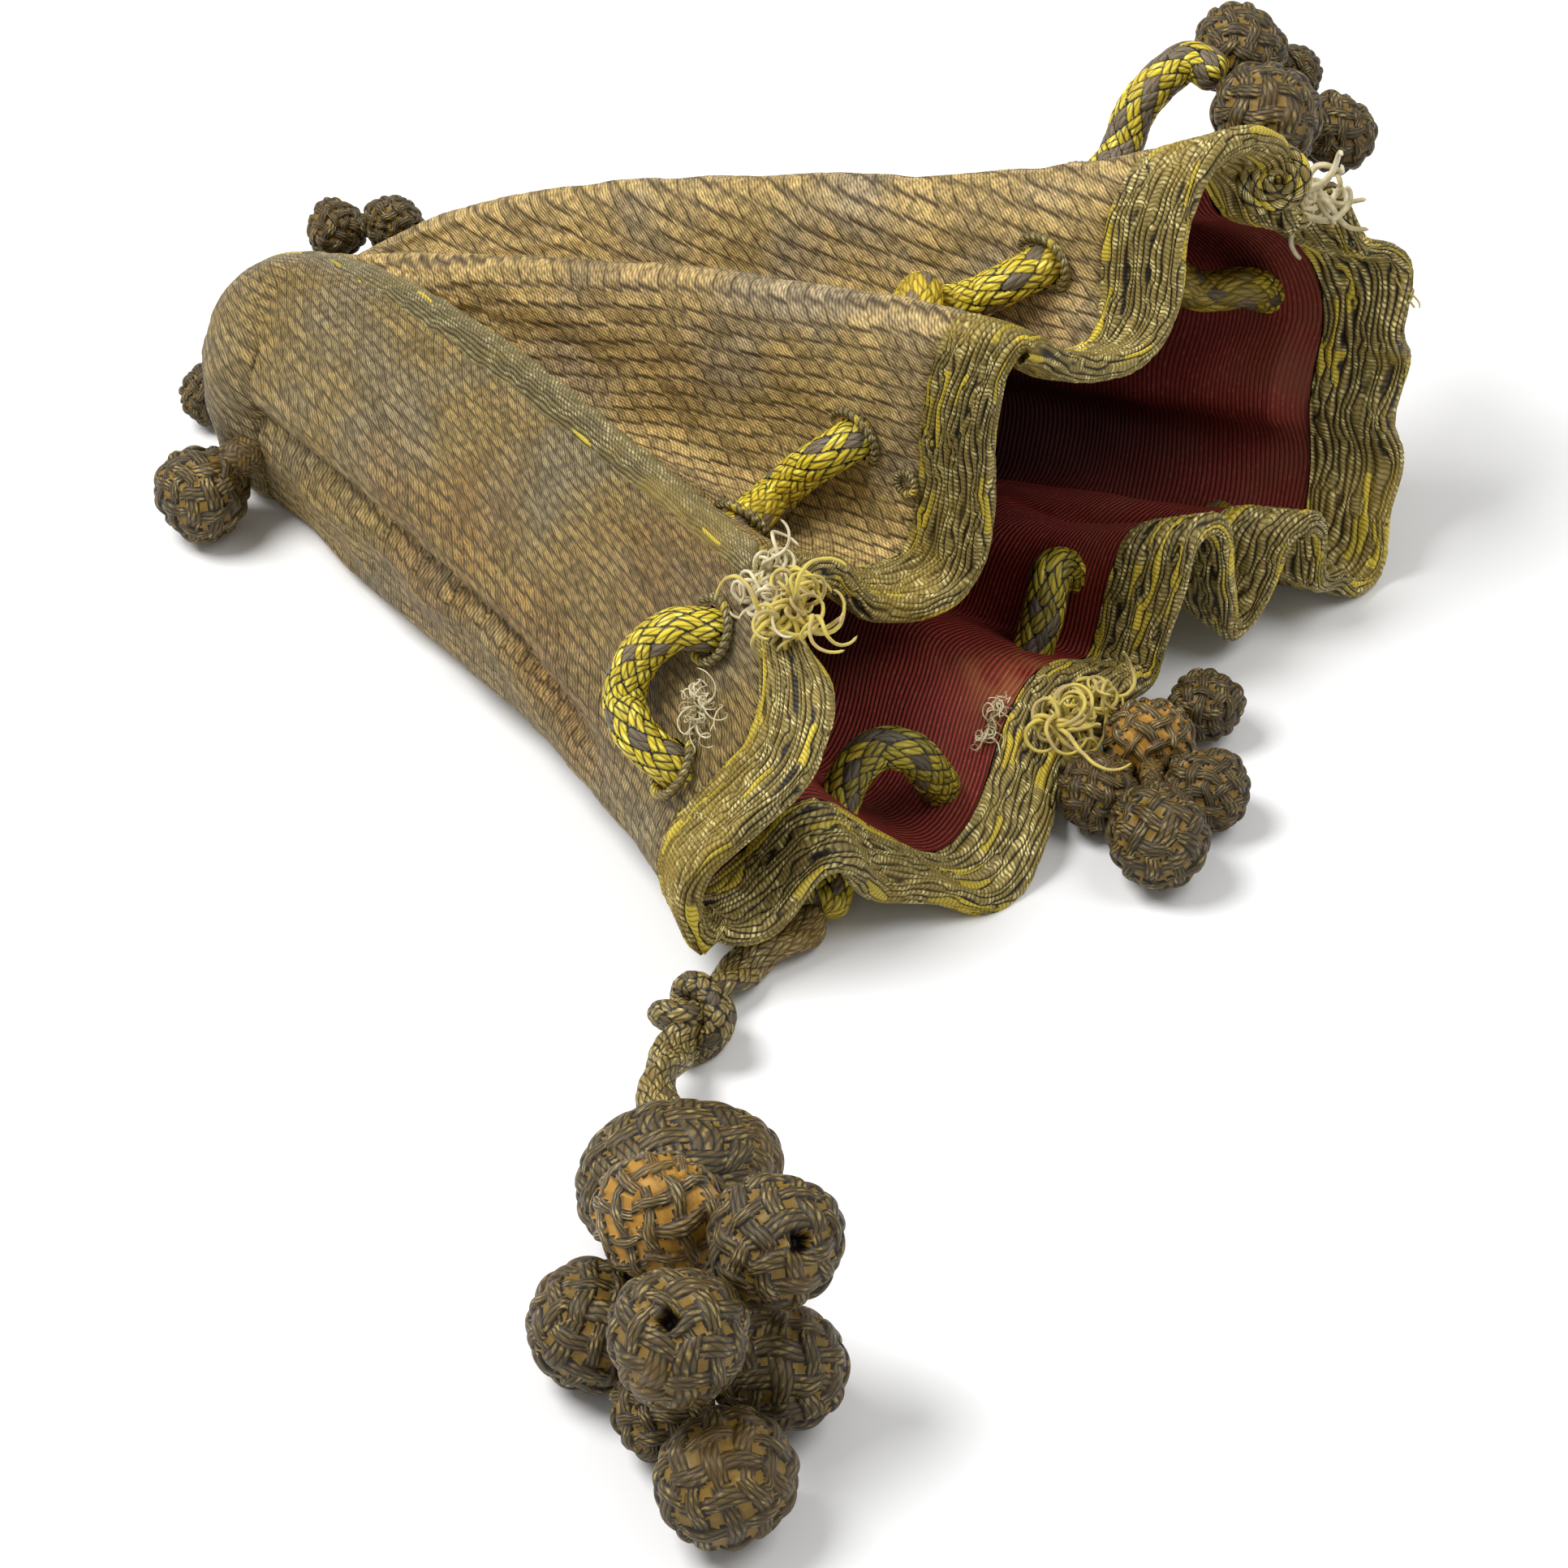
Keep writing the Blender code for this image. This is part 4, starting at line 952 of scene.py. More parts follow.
def add_trim(seed):
    """Couched threads laid side by side over the rim, outside and inside."""
    columns = 345
    width = TRIM_WIDTH + 0.2
    outer = np.linspace(width, 0.0, 58)
    inner = np.linspace(0.0, width - 1.0, 52)
    turn = np.linspace(0, math.pi, 14)[1:-1]
    distance = np.concatenate([outer, -np.sin(turn) * TRIM_HALF, inner])
    height = TRIM_HALF * np.concatenate([np.ones_like(outer), np.cos(turn), -np.ones_like(inner)])
    walked = lengths_along(np.stack([distance, height], axis=1))
    steps = np.linspace(0, walked[-1], round(walked[-1] / TRIM_THREAD) * THREAD_COLUMNS)
    distance = np.interp(steps, walked, distance)
    height = np.interp(steps, walked, height)
    shares = np.broadcast_to(np.linspace(0, 1, columns)[:, None], (columns, len(steps)))
    back = np.maximum(distance, 0.0)
    places = np.broadcast_to((1.0 - back / RIB_LENGTH)[None, :], shares.shape)
    base = SURFACE.at(shares, places)
    normals = SURFACE.normal(shares, np.minimum(places, 0.995))
    rim = SURFACE.at(shares, np.ones_like(shares))
    behind = SURFACE.at(shares, np.full_like(shares, 0.97))
    forward = (rim - behind) / np.linalg.norm(rim - behind, axis=2, keepdims=True)
    around = walk(rim, 0)
    across = np.broadcast_to((steps / TRIM_THREAD)[None, :], shares.shape)
    wave = soft_noise(shares.shape, (170, 22), seed) * 0.85
    wave[-1] = wave[0]
    across = across + wave
    ridge = np.abs(np.sin(math.pi * across))
    swing = soft_noise(shares.shape, (60, 3), seed + 1) * 0.3
    swing[-1] = swing[0]
    ends = np.minimum(np.arange(len(steps)), np.arange(len(steps))[::-1]) / 10
    tuck = np.clip(ends, 0, 1)[None, :]
    out = height[None, :] / TRIM_HALF
    proud = TRIM_HALF - 0.3 + 0.3 * tuck + 0.42 * ridge - 0.1 + swing
    ruffle = soft_noise(shares.shape, (46, 2), seed + 4)[:, :1] * 1.9
    from_far = np.abs(shares[:, :1] - SURFACE.rib_at["far side"]) * SURFACE.perimeter
    far_part = np.clip((44 - from_far) / 12, 0, 1)
    ruffle = ruffle * (1 - 0.6 * far_part) + far_part * (
        2.1 * np.sin(2 * math.pi * around[:, :1] / 12.5 + 0.8 * np.sin(around[:, :1] / 17)) + 0.6)
    ruffle[-1] = ruffle[0]
    ruffle = ruffle * np.clip(1 - back / width, 0, 1)[None, :] ** 1.3
    points = base + normals * (out * proud + ruffle)[..., None] + forward * (
        np.maximum(-distance, 0.0)[None, :] / TRIM_HALF * (proud - 0.35))[..., None]
    points[-1] = points[0]
    mesh = grid_mesh("rim_trim_threads", points)
    corners, faces, mean = face_data(mesh)
    across, around = across.reshape(-1), around.reshape(-1)
    thread = np.floor(mean(across))
    middle = mean(around)
    last = thread.max()
    stretch = np.floor(middle / 4.6 + thread * 0.61)
    outer_thread = np.minimum(thread, last - thread) < 2.5
    on_turn = np.abs(thread - walked[-1] / TRIM_THREAD / 2) < 1.5
    silk = chance_of(thread, stretch, seed) > np.where(outer_thread, 0.7, np.where(on_turn, 0.85, 0.93))
    # The lift tone is low between threads, and the shader turns that into painted shade.
    lift = 0.15 + 0.85 * np.abs(np.sin(math.pi * across[corners]))
    chance = chance_of(thread, np.floor(middle / 21), seed + 2)
    write_threads(mesh, across[corners], around[corners], lift, chance[faces],
                  silk[faces].astype(float) * 0.9)
    keep_clear(mesh, CORD_RADIUS + TRIM_ROOM)
    close_round(mesh)
    turn_outward(mesh, points, normals * out[..., None])
    finish_mesh("rim_trim_threads", mesh, "trim", ("rim_trim",))


def add_lining(seed):
    """Ribbed silk, ribs round the bag, with painted shade far inside it."""
    columns = 240
    far = TRIM_ROW + 0.6 / RIB_LENGTH
    fine = np.linspace(far - 60 / RIB_LENGTH, far, 180)
    rows = np.concatenate([np.linspace(-0.45, fine[0], 22, endpoint=False), fine])
    shares = np.broadcast_to(np.linspace(0, 1, columns)[:, None], (columns, len(rows)))
    base, normals = on_sheet(shares, rows)[1:]
    along = walk(base, 1)
    wave = soft_noise(shares.shape, (60, 12), seed) * 0.5
    wave[-1] = wave[0]
    ribs = (along - along[:, -1:]) + wave
    creases = (soft_noise(shares.shape, (40, 9), seed + 1) * 0.4
               + soft_noise(shares.shape, (110, 20), seed + 2) * 0.16)
    creases[-1] = creases[0]
    past_fold = (shares - SURFACE.rib_at["far side"]) * SURFACE.perimeter - 3.5
    fold = np.where(past_fold < 0, np.exp(-(past_fold / 7.5) ** 2), np.exp(-(past_fold / 2.2) ** 2))
    behind = along[:, -1:] - along
    fold = fold * np.clip(behind / 4, 0, 1) * np.clip((62 - behind) / 20, 0, 1)
    points = base + normals * (INSIDE - 0.05 + creases - 2.6 * fold)[..., None]
    points[-1] = points[0]
    mesh = grid_mesh("ribbed_lining", points)
    corners = face_data(mesh)[0]
    around = walk(SURFACE.at(shares, np.ones_like(shares)), 0)
    ribs = ribs.reshape(-1)
    # Painted shade: darker further behind the rim, sooner on the far wall, and darker just past the
    # lengthwise fold.
    far_wall = np.exp(-(((shares - SURFACE.rib_at["far low"]) * SURFACE.perimeter) / 17) ** 2)
    shade_under_fold = np.clip(past_fold / 2, 0, 1) * np.clip(1 - past_fold / 26, 0, 1)
    painted_deep_shade = np.clip((behind - 24.0 + 18.0 * far_wall) / (44.0 - 16.0 * far_wall), 0, 1)
    painted_deep_shade = np.clip(painted_deep_shade + 0.35 * shade_under_fold, 0, 1).reshape(-1)
    upper = np.clip(1 - np.abs((shares - SURFACE.rib_at["far side"]) * SURFACE.perimeter) / 30, 0, 1) ** 0.5
    low_seam = SURFACE.rib_at["low seam"]
    near_rim = np.exp(-(behind / 10.0) ** 2)
    worn = (0.75 * np.exp(-((shares - low_seam) / 0.018) ** 2) * near_rim
            * np.clip(0.75 + soft_noise(shares.shape, (220, 50), seed + 6), 0, 1) + 0.1 * near_rim)
    strength = (1 - 0.7 * upper).reshape(-1)
    write_threads(mesh, around.reshape(-1)[corners], ribs[corners], painted_deep_shade[corners], strength[corners],
                  np.clip(worn, 0, 1).reshape(-1)[corners])
    keep_clear(mesh, CORD_RADIUS + LINING_ROOM)
    close_round(mesh)
    turn_outward(mesh, points, -normals)
    finish_mesh("ribbed_lining", mesh, "lining", ("lining",))


# Cords and balls


def tube(line, angle, reach):
    """Points round a line at the given angles and reach, one row for each of its points."""
    ways = np.gradient(line, axis=0)
    ways /= np.linalg.norm(ways, axis=1, keepdims=True)
    side = np.array([0.0, 0.0, 1.0]) if abs(ways[0][2]) < 0.8 else np.array([1.0, 0.0, 0.0])
    sides = []
    for way in ways:
        side = side - way * np.dot(side, way)
        side = side / np.linalg.norm(side)
        sides.append(side)
    sides = np.array(sides)
    across = np.cross(ways, sides)
    out = sides[:, None, :] * np.cos(angle)[None, :, None] + across[:, None, :] * np.sin(angle)[None, :, None]
    points = line[:, None, :] + out * reach[..., None]
    points[:, -1] = points[:, 0]
    return points


def add_braided_cord(name, line, diameter, material, nodes, strands=7, pitch=3.0, slot=None, seed=1, ply=0.0,
                     hidden=None):
    """A round braid of two families of strands along a line of layout points, its ends rounded."""
    radius = diameter / 2
    total = length_of(line)
    body = even_line(line, CORD_STEP)
    spots = np.linspace(0, total, len(body))
    columns = strands * STRAND_COLUMNS + 1
    angle = np.linspace(0, 2 * math.pi, columns)
    turn = angle[None, :] / (2 * math.pi) * strands
    step = spots[:, None] / pitch
    first, second = turn + step, turn - step + 1000
    height = cell_height(part_of(first), part_of(second))
    end_reach = np.clip(np.minimum(spots, total - spots) / (radius * 0.8), 0, 1)
    swell = np.sqrt(np.clip(1 - (1 - end_reach) ** 2, 0, 1))[:, None]
    lobe = 1 - ply * np.abs(np.sin(angle[None, :] - 2 * math.pi * spots[:, None] / 17)) ** 1.5
    reach = (radius - 0.22 + 0.32 * height) * lobe * np.maximum(swell, 1e-5)
    points = tube(body, angle, reach)
    points[0, :] = points[0, 0]
    points[-1, :] = points[-1, 0]
    mesh = grid_mesh(name, points)
    corners, faces, mean = face_data(mesh)
    first, second = first.reshape(-1), second.reshape(-1)
    cell_a = np.floor(mean(first))
    cell_b = np.floor(mean(second))
    in_a, in_b = first[corners] - cell_a[faces], second[corners] - cell_b[faces]
    a_on_top = (cell_a + cell_b) % 2 > 0.5
    on_top = a_on_top[faces]
    strand = np.where(a_on_top, cell_a % strands, cell_b % strands + strands)
    dark = (chance_of(strand, strand * 0, seed) > 0.8).astype(float)
    tone = chance_of(cell_a, cell_b, seed)[faces]
    # Painted shade: the stretches of cord that run inside the bag are darkened.
    if hidden is not None:
        inside = np.interp(np.linspace(0, 1, len(body)), np.linspace(0, 1, len(hidden)), hidden)
        tone = tone - 1.1 * np.repeat(inside[:, None], columns, axis=1).reshape(-1)[corners]
    # The lift tone falls at the strand edges, and the shader turns that into painted shade between strands.
    write_threads(mesh, np.where(on_top, in_a, in_b), np.where(on_top, in_b, in_a) * pitch,
                  cell_height(in_a, in_b), tone, dark[faces])
    close_round(mesh)
    recalculate(mesh)
    return finish_mesh(name, mesh, material, nodes, slot)


def own_column(values, columns):
    """The value of each row in the column that belongs to it."""
    return np.take_along_axis(values, columns[:, None], axis=1)[:, 0]


def strip_heights(place, strips, widths):
    """Heights of two crossing sets of strips over a ball's face, over and under in turn."""
    low = np.clip(np.floor(place), 0, strips - 1)
    off = place - low - 0.5
    sign = np.where((low[:, 0] + low[:, 1]) % 2 > 0.5, 1.0, -1.0)
    heights = []
    for k, turn in ((0, 1.0), (1, -1.0)):
        body = np.sqrt(np.clip(1 - np.abs(2 * off[:, k] / widths[:, k]) ** 4, 0, 1))
        weave = 0.55 + 0.45 * turn * sign * np.cos(math.pi * off[:, 1 - k])
        heights.append(body * weave)
    return np.array(heights), low


def add_plaited_ball(name, centre, diameter, strips, fineness, seed, material="ball", wide=0.62,
                     pole_hole=None, flatness=1.0, turn=None):
    """A bead covered with an open lattice of flat strips of thread, over and under."""
    mesh = bpy.data.meshes.new(name)
    with opened(mesh) as bm:
        bmesh.ops.create_cube(bm, size=2.0)
        bmesh.ops.subdivide_edges(bm, edges=bm.edges, cuts=strips * fineness - 1, use_grid_fill=True)
    co = np.empty(len(mesh.vertices) * 3)
    mesh.vertices.foreach_get("co", co)
    cube = co.reshape(-1, 3)
    corners, faces, mean = face_data(mesh)
    middle = np.stack([mean(cube[:, k]) for k in range(3)], axis=1)
    face_side = np.abs(middle).argmax(axis=1)
    side = np.abs(cube).argmax(axis=1)
    others = np.array([[1, 2], [2, 0], [0, 1]])

    def lattice(points, sides, signs):
        flat = np.take_along_axis(points, others[sides], axis=1)
        place = (flat + 1) / 2 * strips
        number = sides * 2 + signs
        bent = place + 0.13 * np.sin(place[:, ::-1] * 2.3 + number[:, None] * 1.9 + seed)
        bent = np.where((place < 0.02) | (place > strips - 0.02), place, bent)
        cell = np.clip(np.floor(bent), 0, strips - 1)
        spread = [wide + 0.26 * (chance_of(cell[:, k] + number * 7, cell[:, k] * 0 + k, seed) - 0.5)
                  for k in (0, 1)]
        return bent, np.stack(spread, axis=1), number

    bent, widths = lattice(cube, side, (own_column(cube, side) > 0).astype(int))[:2]
    heights = strip_heights(bent, strips, widths)[0].max(axis=0)
    face_sign = (own_column(middle, face_side) > 0).astype(int)
    face_bent, face_widths, face_number = lattice(middle, face_side, face_sign)
    face_heights, cell = strip_heights(face_bent, strips, face_widths)
    on_first = face_heights[0] >= face_heights[1]
    ground = face_heights.max(axis=0) < 0.12
    at_corner = lattice(cube[corners], face_side[faces], face_sign[faces])[0] - cell[faces] - 0.5
    index = np.where(on_first, 0, 1)[faces]
    across = own_column(at_corner, index) / own_column(face_widths[faces], index) + 0.5
    along = own_column(at_corner, 1 - index)
    strip_lift = np.clip(rounded(across, 4), 0, 1)
    own_height = np.where(on_first, face_heights[0], face_heights[1])[faces]
    # Painted shade: a strip is darker where it dips to pass under another.
    lift = np.where(ground[faces], 0.75, strip_lift * np.clip(0.25 + own_height, 0, 1))
    number_of_strip = np.where(on_first, cell[:, 0], cell[:, 1] + 20) + face_number * 40
    spin = np.array(Matrix.Rotation(seed * 1.7, 3, "Z") @ Matrix.Rotation(seed * 0.9, 3, "X"))
    sunk_face = np.zeros(len(middle), bool)
    if pole_hole is not None:
        aim = np.array(pole_hole) / np.linalg.norm(pole_hole) @ spin
        look = np.tan(middle * math.pi / 4)
        look = look / np.linalg.norm(look, axis=1, keepdims=True)
        first = np.cross(aim, [0.2, 0.3, 1.0])
        first /= np.linalg.norm(first)
        beside = np.stack([look @ first, look @ np.cross(aim, first)], axis=1) * diameter / 2
        sunk_face = (look @ aim > 0) & (np.abs(beside).max(axis=1) < 0.95)
    # Painted shade: the faces of an open pole get no lift and no silk, so they take the near-black groove
    # colour.
    write_threads(mesh, np.where(ground[faces], 0.16, across), along * BALL_STRIP,
                  lift * np.where(sunk_face, 0.0, 1.0)[faces],
                  chance_of(number_of_strip, number_of_strip * 0, seed + 3)[faces],
                  np.where(ground & ~sunk_face, 0.95, 0.0)[faces])
    bulge = np.tan(np.clip(cube, -1, 1) * math.pi / 4)
    out = bulge / np.linalg.norm(bulge, axis=1, keepdims=True)
    sunk = np.bincount(corners, weights=sunk_face[faces] * 2.2, minlength=len(cube))
    sunk = sunk / np.maximum(np.bincount(corners, minlength=len(cube)), 1)
    soft = 0.25 * np.sin(out @ np.array([3.1, 1.7, -2.3]) + seed)
    reach = diameter / 2 - 0.55 + 0.62 * heights - sunk + soft
    points = out * reach[:, None]
    if turn is None:
        points = points @ spin.T
    points = points * np.array([flatness, 1.0, flatness])
    if turn is not None:
        points = points @ np.array(Matrix.Rotation(math.radians(turn), 3, "Z")).T
    points = points + np.array(centre)
    move_points(mesh, points)
    return finish_mesh(name, mesh, material, (name.replace("_plait", ""),))


def add_wound_ring(name, centre, axis, radius, thick, material, slot, turns=26):
    """A ring of thread wound closely round, as at a worked hole."""
    axis = np.array(axis) / np.linalg.norm(axis)
    first = np.cross(axis, [0.3, 0.2, 1.0])
    first = first - axis * np.dot(first, axis)
    first /= np.linalg.norm(first)
    second = np.cross(axis, first)
    columns, rows = turns * THREAD_COLUMNS + 1, 15
    t = np.linspace(0, 2 * math.pi, columns)
    s = np.linspace(0, 2 * math.pi, rows)
    lean = t[:, None] + s[None, :] * 0.06
    ridge = np.abs(np.sin(turns * lean / 2))
    reach = thick * (0.8 + 0.25 * ridge)
    ring = radius + reach * np.cos(s)[None, :]
    points = (np.array(centre) + first * (ring * np.cos(t)[:, None])[..., None]
              + second * (ring * np.sin(t)[:, None])[..., None]
              + axis * (reach * np.sin(s)[None, :])[..., None])
    points[-1] = points[0]
    points[:, -1] = points[:, 0]
    mesh = grid_mesh(name, points)
    corners, faces, mean = face_data(mesh)
    turn = (turns * lean / (2 * math.pi)).reshape(-1)
    cell = np.floor(mean(turn))
    along = np.broadcast_to(s[None, :], lean.shape).reshape(-1) * thick
    # The lift tone falls between turns, and the shader turns that into painted shade.
    write_threads(mesh, turn[corners] - cell[faces], along[corners],
                  0.3 + 0.7 * np.abs(np.sin(math.pi * turn[corners])), chance_of(cell, cell * 0, 4)[faces],
                  (chance_of(cell, cell * 0, 8) > 0.88)[faces] * 0.7)
    close_round(mesh)
    recalculate(mesh)
    finish_mesh(name, mesh, material, (), slot)


def add_tuft(name, starts, flow, count, length, thick, curl, material, slot, seed):
    """Loose curling ends of thread that start along a short stretch and flow one way."""
    pick = np.random.default_rng(seed)
    starts = np.array([route_point(start) for start in starts])
    flow = np.array(flow, float) / np.linalg.norm(flow)
    bm = bmesh.new()
    for _ in range(count):
        place = pick.uniform(0, len(starts) - 1)
        low = int(min(place, len(starts) - 2))
        spot = starts[low] + (starts[low + 1] - starts[low]) * (place - low)
        way = flow + pick.normal(0, 0.6, 3)
        own = length * pick.uniform(0.45, 1.1)
        points = [spot]
        axis = pick.normal(0, 1, 3) + flow * 0.8
        axis /= np.linalg.norm(axis)
        bend = curl * pick.uniform(0.5, 1.3)
        for _ in range(FRAY_BENDS):
            way = way / np.linalg.norm(way)
            spot = spot + way * own / FRAY_BENDS
            spot[2] = max(spot[2], FRAY_LOWEST)
            points.append(spot)
            way = way + np.cross(axis, way) * bend + pick.normal(0, 0.1, 3) - np.array([0, 0, 0.05])
        line = even_line(np.array(points), FRAY_STEP)
        taper = np.linspace(1, 0.45, len(line))
        thread = tube(line, np.linspace(0, 2 * math.pi, 6), (thick / 2 * taper)[:, None])
        thread[0, :] = line[0]
        thread[-1, :] = line[-1]
        piece = grid_mesh(name, thread)
        bm.from_mesh(piece)
        bpy.data.meshes.remove(piece)
    bmesh.ops.remove_doubles(bm, verts=bm.verts, dist=1e-7)
    bmesh.ops.recalc_face_normals(bm, faces=bm.faces)
    mesh = bpy.data.meshes.new(name)
    bm.to_mesh(mesh)
    bm.free()
    finish_mesh(name, mesh, material, (), slot)


def heights_over(line, points, normals):
    """Height of each spot of a line over the sewn surface, and the surface point nearest it."""
    nearest = [int(np.argmin(((spot - points) ** 2).sum(axis=1))) for spot in line]
    return [float((spot - points[k]) @ normals[k]) for spot, k in zip(line, nearest)], nearest


def crossing_points(line, points, normals):
    """Where a line passes through the outer face of the cloth, with the way out there."""
    found = []
    heights, nearest = heights_over(line, points, normals)
    for k in range(len(line) - 1):
        low, high = heights[k] - OUTSIDE, heights[k + 1] - OUTSIDE
        if low * high < 0 and abs(low - high) < 2.0:
            share = low / (low - high)
            spot = line[k] + (line[k + 1] - line[k]) * share
            way = line[k + 1] - line[k]
            found.append((spot, normals[nearest[k]], way / np.linalg.norm(way)))
    return found


def loops_drawn_up():
    """The drawstring's route with its three outer loops drawn closer into their holes."""
    route = list(DRAWSTRING)
    hidden = route.index(("back upper flank", 2, 15, UNDER))
    route[hidden:hidden + 2] = [("back upper flank", 1, 13, UNDER - 1), ("back flank", 4.2, 14.6, 0.3),
                                ("back flank", 1.6, 17.6, OVER)]
    hidden = route.index(("middle flank", 4, 17, OVER))
    route[hidden:hidden + 2] = [("middle flank", 4.4, 16.9, 0.0), ("middle flank", 2.2, 19.0, OVER - 0.6),
                                ("middle flank", -1.2, 22.5, OVER), ("middle foot", 1.5, 26, OVER)]
    hidden = route.index(("near top", 0, 19, OVER))
    route[hidden:] = [("near top", -1.5, 15, UNDER), ("near shoulder", 0.8, 16.2, 0.0),
                      ("near shoulder", -1.2, 20.0, OVER - 0.5), ("near crest", 1.2, 24.5, OVER),
                      ("near crest", -4.4, 23.8, OVER), ("near flank", 1.3, 18.2, OVER - 0.4),
                      ("near flank", -0.8, 12.9, 0.0), ("near flank", -3.0, 11.5, UNDER - 1)]
    return route


DRAWSTRING_LINE = smooth_route(loops_drawn_up(), ROUTE_STEP)
FAR_LINE = smooth_route(FAR_DRAWSTRING, ROUTE_STEP)
TAIL_LINE = smooth_route(TAIL, ROUTE_STEP)
CORD_LINES = [part_frame(DRAWSTRING_LINE), part_frame(FAR_LINE)]

add_panel("panel_back", "near", "far", 170, 11)
add_panel("panel_under", "far", "low", 196, 23)
add_panel("panel_near", "low", "near", 170, 37)
for seed, seam in enumerate(SEAMS, 5):
    add_seam(seam, seed)
add_trim(41)
add_lining(53)

grid_u, grid_row = np.meshgrid(np.arange(RIM_SAMPLES) / RIM_SAMPLES, np.linspace(0, 1, 120), indexing="ij")
face_points = SURFACE.at(grid_u, grid_row).reshape(-1, 3)
face_normals = SURFACE.normal(grid_u, grid_row).reshape(-1, 3)
for name, line, seed in (("drawstring", DRAWSTRING_LINE, 3), ("far_drawstring", FAR_LINE, 4)):
    # How far each spot of the cord sinks under the sewn surface, for painted shade on the stretches inside
    # the bag.
    shade_inside_bag = np.clip(-np.array(heights_over(line, face_points, face_normals)[0]) / 1.5, 0, 1)
    add_braided_cord(name + "_braid", line, CORD_DIAMETER, "cord", (name,), seed=seed, hidden=shade_inside_bag)
tail = add_braided_cord("tail_braid", TAIL_LINE[::-1], CORD_DIAMETER, "brown_cord", ("tail",), seed=5,
                        ply=0.34)
core = add_braided_cord("near_core_braid", np.array(NEAR_CORE), CORD_DIAMETER, "brown_cord",
                        ("near_core",), seed=6)

# The knot: a trefoil across the tail
turned = np.linspace(0, 2 * math.pi, 160)
knot_centre = route_point(TAIL[KNOT_POINT])
flow = np.array([0.35, -0.9, 0.1])
flow /= np.linalg.norm(flow)
wide_way = np.cross(flow, [0, 0, 1])
wide_way /= np.linalg.norm(wide_way)
high_way = np.cross(wide_way, flow)
reach = 2.35 + 1.05 * np.cos(3 * turned)
loops = (np.outer(reach * np.cos(2 * turned), wide_way) + np.outer(reach * np.sin(2 * turned), high_way)
         + np.outer(2.3 * np.sin(3 * turned), flow))
knot = add_braided_cord("tail_knot_loops", knot_centre + loops, 2.8, "brown_cord", ("tail_knot",), strands=4,
                        pitch=1.7, seed=8)

for k, (name, (centre, diameter)) in enumerate(BALLS.items()):
    if name == "near_head":
        ball = add_plaited_ball(name + "_plait", centre, diameter, 4, 12, 1, wide=0.8,
                                flatness=HEAD_FLATNESS, turn=HEAD_TURN)
    else:
        worn = name in ("near_ball_amber", "right_head")
        ball = add_plaited_ball(name + "_plait", centre, diameter, 3, 12 if diameter > 12 else 9, k + 2,
                                "amber_ball" if worn else "ball", 0.42 if worn else 0.62,
                                BALL_HOLES.get(name))

for first, second in STEMS:
    ends = np.array([BALLS[first][0], BALLS[second][0]])
    add_braided_cord(f"stem_to_{second}", ends, 2.6, "ball", (), strands=3, pitch=1.6, slot=second, seed=13)
neck = add_braided_cord("near_head_neck", np.array([TAIL[0], (42.4, -85.8, 8.15)]), 4.5, "brown_cord", (),
                        strands=5, pitch=1.6, slot="near_head", seed=10)

# Wound rims of the holes that the cord passes through
crossings = (crossing_points(DRAWSTRING_LINE, face_points, face_normals)
             + crossing_points(FAR_LINE, face_points, face_normals))
for number, (spot, out, way) in enumerate(crossings, 1):
    lean = way if np.dot(way, out) > 0 else -way
    add_wound_ring(f"eyelet_{number}", spot, out * 0.75 + lean * 0.7, 3.35, 0.55, "seam", "rim_trim")

# The rolled end of the trim in the far curl, seen end on
turned = np.linspace(0, 5.4 * math.pi, 120)
roll_reach = (0.5 + 0.2 * turned)[:, None]
roll_centre = route_point(("far seam", -1, 3.2, -1.9)) + np.array([0.3, -4.9, 10.0])
roll_line = roll_centre + roll_reach * (np.outer(np.cos(turned), (0.87, 0.5, 0.0))
                                        + np.outer(np.sin(turned), (-0.33, 0.58, 0.74)))
add_braided_cord("far_curl_roll", roll_line, 1.5, "trim", (), strands=3, pitch=2.4, slot="rim_trim", seed=12)

# A small worked hole by the rim of the middle lobe
spot = route_point(("middle flank", 0.3, 9.6, OUTSIDE + 0.2))
add_wound_ring("small_worked_hole", spot, SURFACE.normal(SURFACE.rib_at["middle flank"], 0.91), 1.25, 0.42,
               "seam", "panel_back", turns=16)

# Neck of wound thread between the near base ball and the bag
base_neck = np.array([(-58.9, -18.6, 7.2), (-57.2, -16.2, 9.4), (-55.0, -13.0, 10.6)])
add_braided_cord("base_ball_neck", base_neck, 4.6, "ball", (), strands=5, pitch=1.6, slot="base_ball_near",
                 seed=9)

for seed, fray in enumerate(FRAYS, 3):
    add_tuft(*fray, seed)


# Floor, light and camera


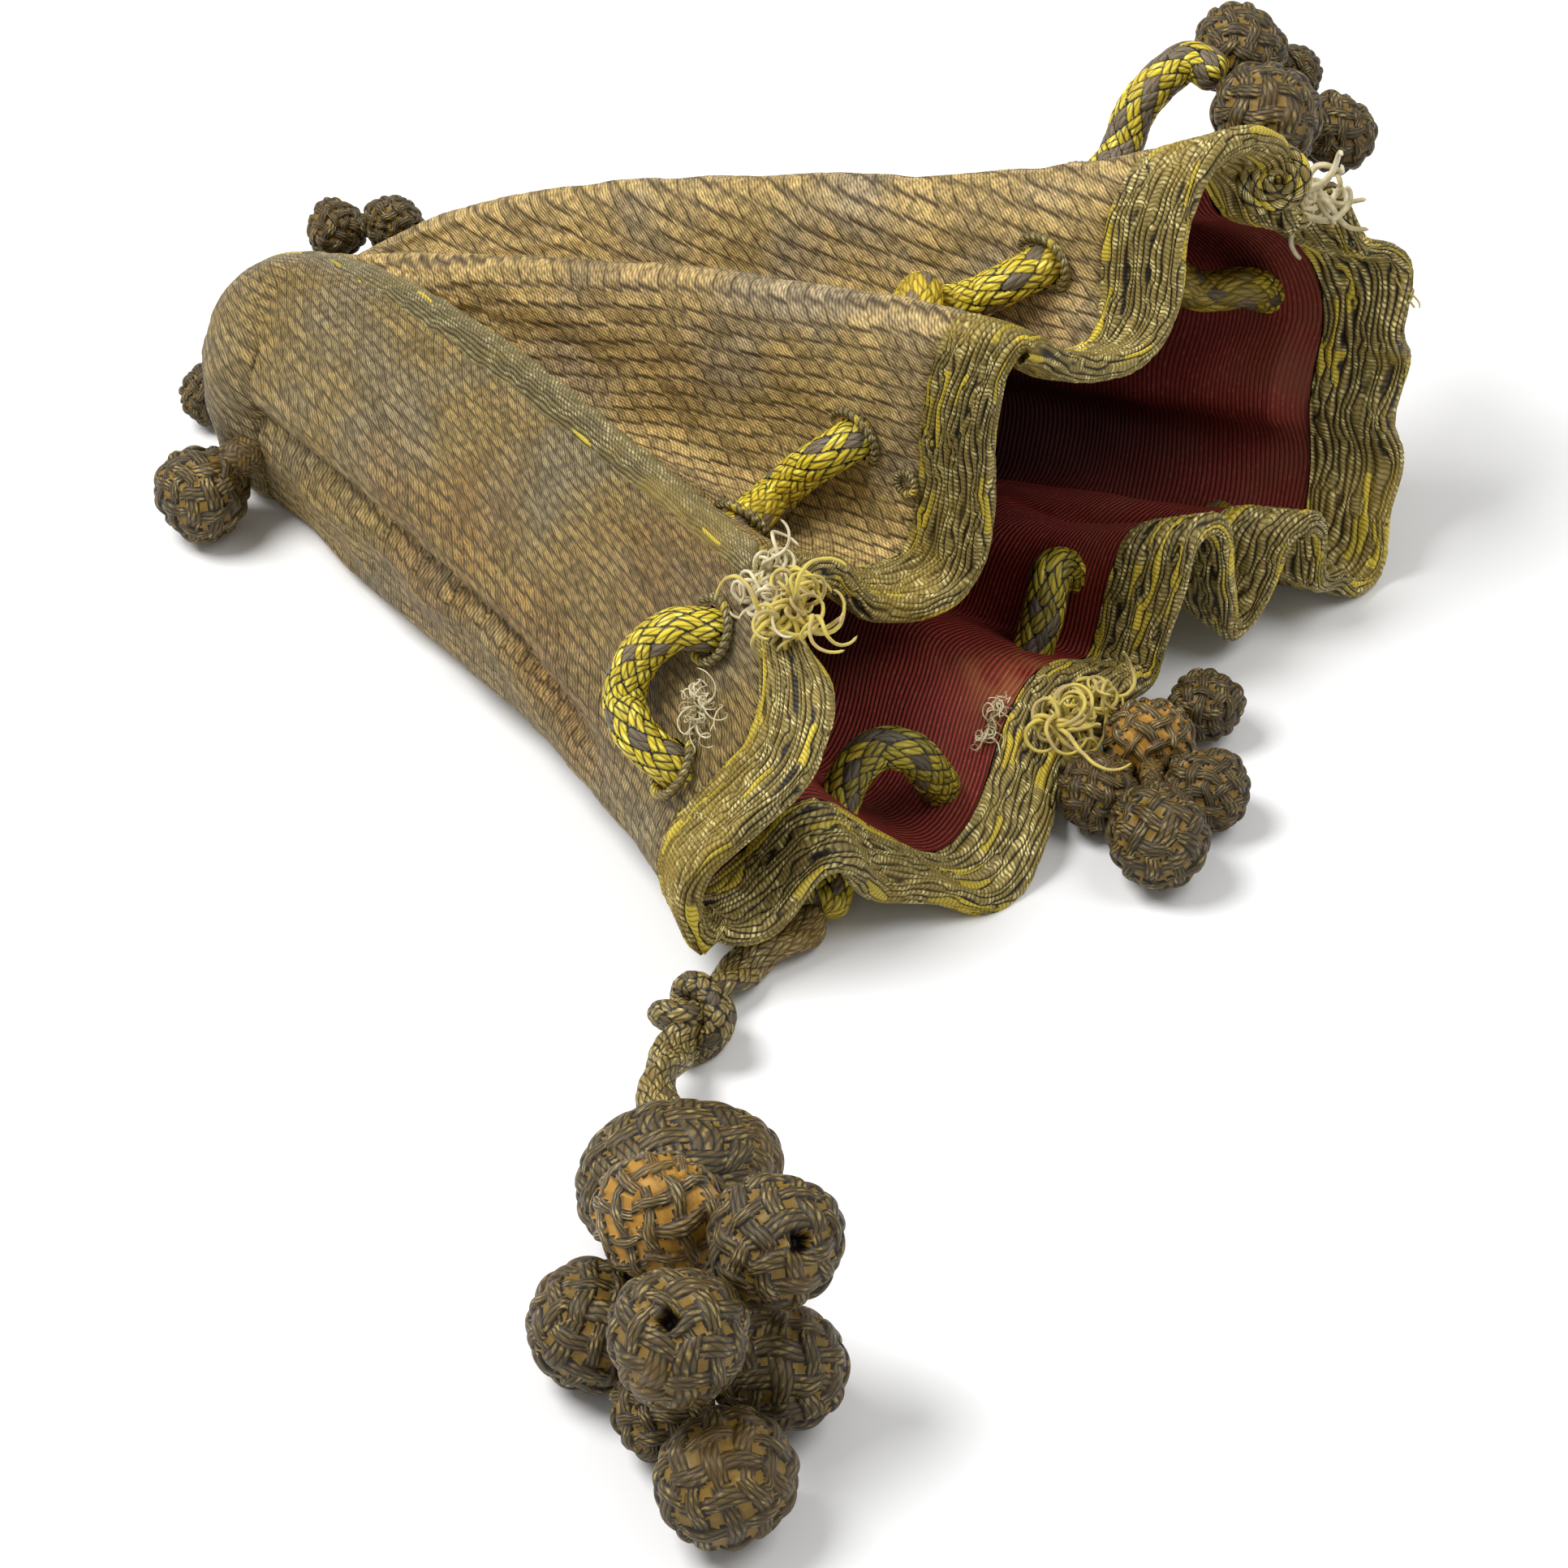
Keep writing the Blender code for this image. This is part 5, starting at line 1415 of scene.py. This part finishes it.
def add_floor():
    """A pale table that fades to white far from the purse, for the camera alone."""
    mesh = bpy.data.meshes.new("table")
    with opened(mesh) as bm:
        bmesh.ops.create_grid(bm, x_segments=1, y_segments=1, size=3.0)
    made = bpy.data.objects.new("table", mesh)
    bpy.context.scene.collection.objects.link(made)
    surface, nodes, inputs = base_material("pale_table", 0.9)
    nodes.put((0.95, 0.95, 0.95), inputs["Base Color"])
    spread = nodes.new("ShaderNodeVectorMath")
    spread.operation = "LENGTH"
    nodes.put(nodes.new("ShaderNodeTexCoord").outputs["Object"], spread.inputs[0])
    far = nodes.ramp(spread.outputs["Value"], 0.22, 0.5)
    shader = surface.node_tree.nodes["Principled BSDF"]
    white = nodes.new("ShaderNodeEmission")
    blend = nodes.new("ShaderNodeMixShader")
    for source, socket in zip((nodes.times(far, nodes.seen()), shader.outputs[0], white.outputs[0]),
                              blend.inputs):
        nodes.put(source, socket)
    nodes.put(blend.outputs[0], surface.node_tree.nodes["Material Output"].inputs["Surface"])
    mesh.materials.append(surface)


def add_area(name, place, power):
    """A soft round lamp that shines on the purse."""
    lamp = bpy.data.lights.new(name, "AREA")
    lamp.shape = "DISK"
    lamp.size = LAMP_SIZE
    lamp.energy = power
    made = bpy.data.objects.new(name, lamp)
    bpy.context.scene.collection.objects.link(made)
    made.location = place
    made.rotation_euler = (Vector(LAMP_TARGET) - Vector(place)).to_track_quat("-Z", "Y").to_euler()


LAMP_SIZE = 0.5
LAMP_TARGET = (0.03, 0, 0.02)
SKY_LIGHT = 0.33
CAMERA_LENS = 126.7
CAMERA_SENSOR = 36.0
CAMERA_DISTANCE = 0.6
CAMERA_TURN = math.radians(30)
CAMERA_RISE = math.radians(42)
LOOK_AT = part_frame((19.0, -24.0, 0.0))
# The way from the purse back to the camera
BACK = np.array([math.sin(CAMERA_TURN) * math.cos(CAMERA_RISE),
                 -math.cos(CAMERA_TURN) * math.cos(CAMERA_RISE), math.sin(CAMERA_RISE)])

add_floor()
add_area("over_left", (-0.35, -0.25, 0.75), 7.9)
add_area("over_right", (0.45, 0.1, 0.7), 2.4)
scene = bpy.context.scene
scene.world = scene.world or bpy.data.worlds.new("Studio")
scene.world.use_nodes = True
sky = Nodes(scene.world.node_tree)
soft_light = sky.tree.nodes["Background"].inputs
sky.put((1.0, 1.0, 1.0), soft_light["Color"])
sky.put(sky.ramp(sky.seen(), 0.0, 1.0, SKY_LIGHT, 1.0), soft_light["Strength"])

camera_data = bpy.data.cameras.new("Camera")
camera_data.lens = CAMERA_LENS
camera_data.sensor_width = CAMERA_SENSOR
camera = bpy.data.objects.new("Camera", camera_data)
scene.collection.objects.link(camera)
camera.location = LOOK_AT + BACK * CAMERA_DISTANCE
camera.rotation_euler = Vector(BACK).to_track_quat("Z", "Y").to_euler()
scene.camera = camera
scene.view_settings.view_transform = "Standard"
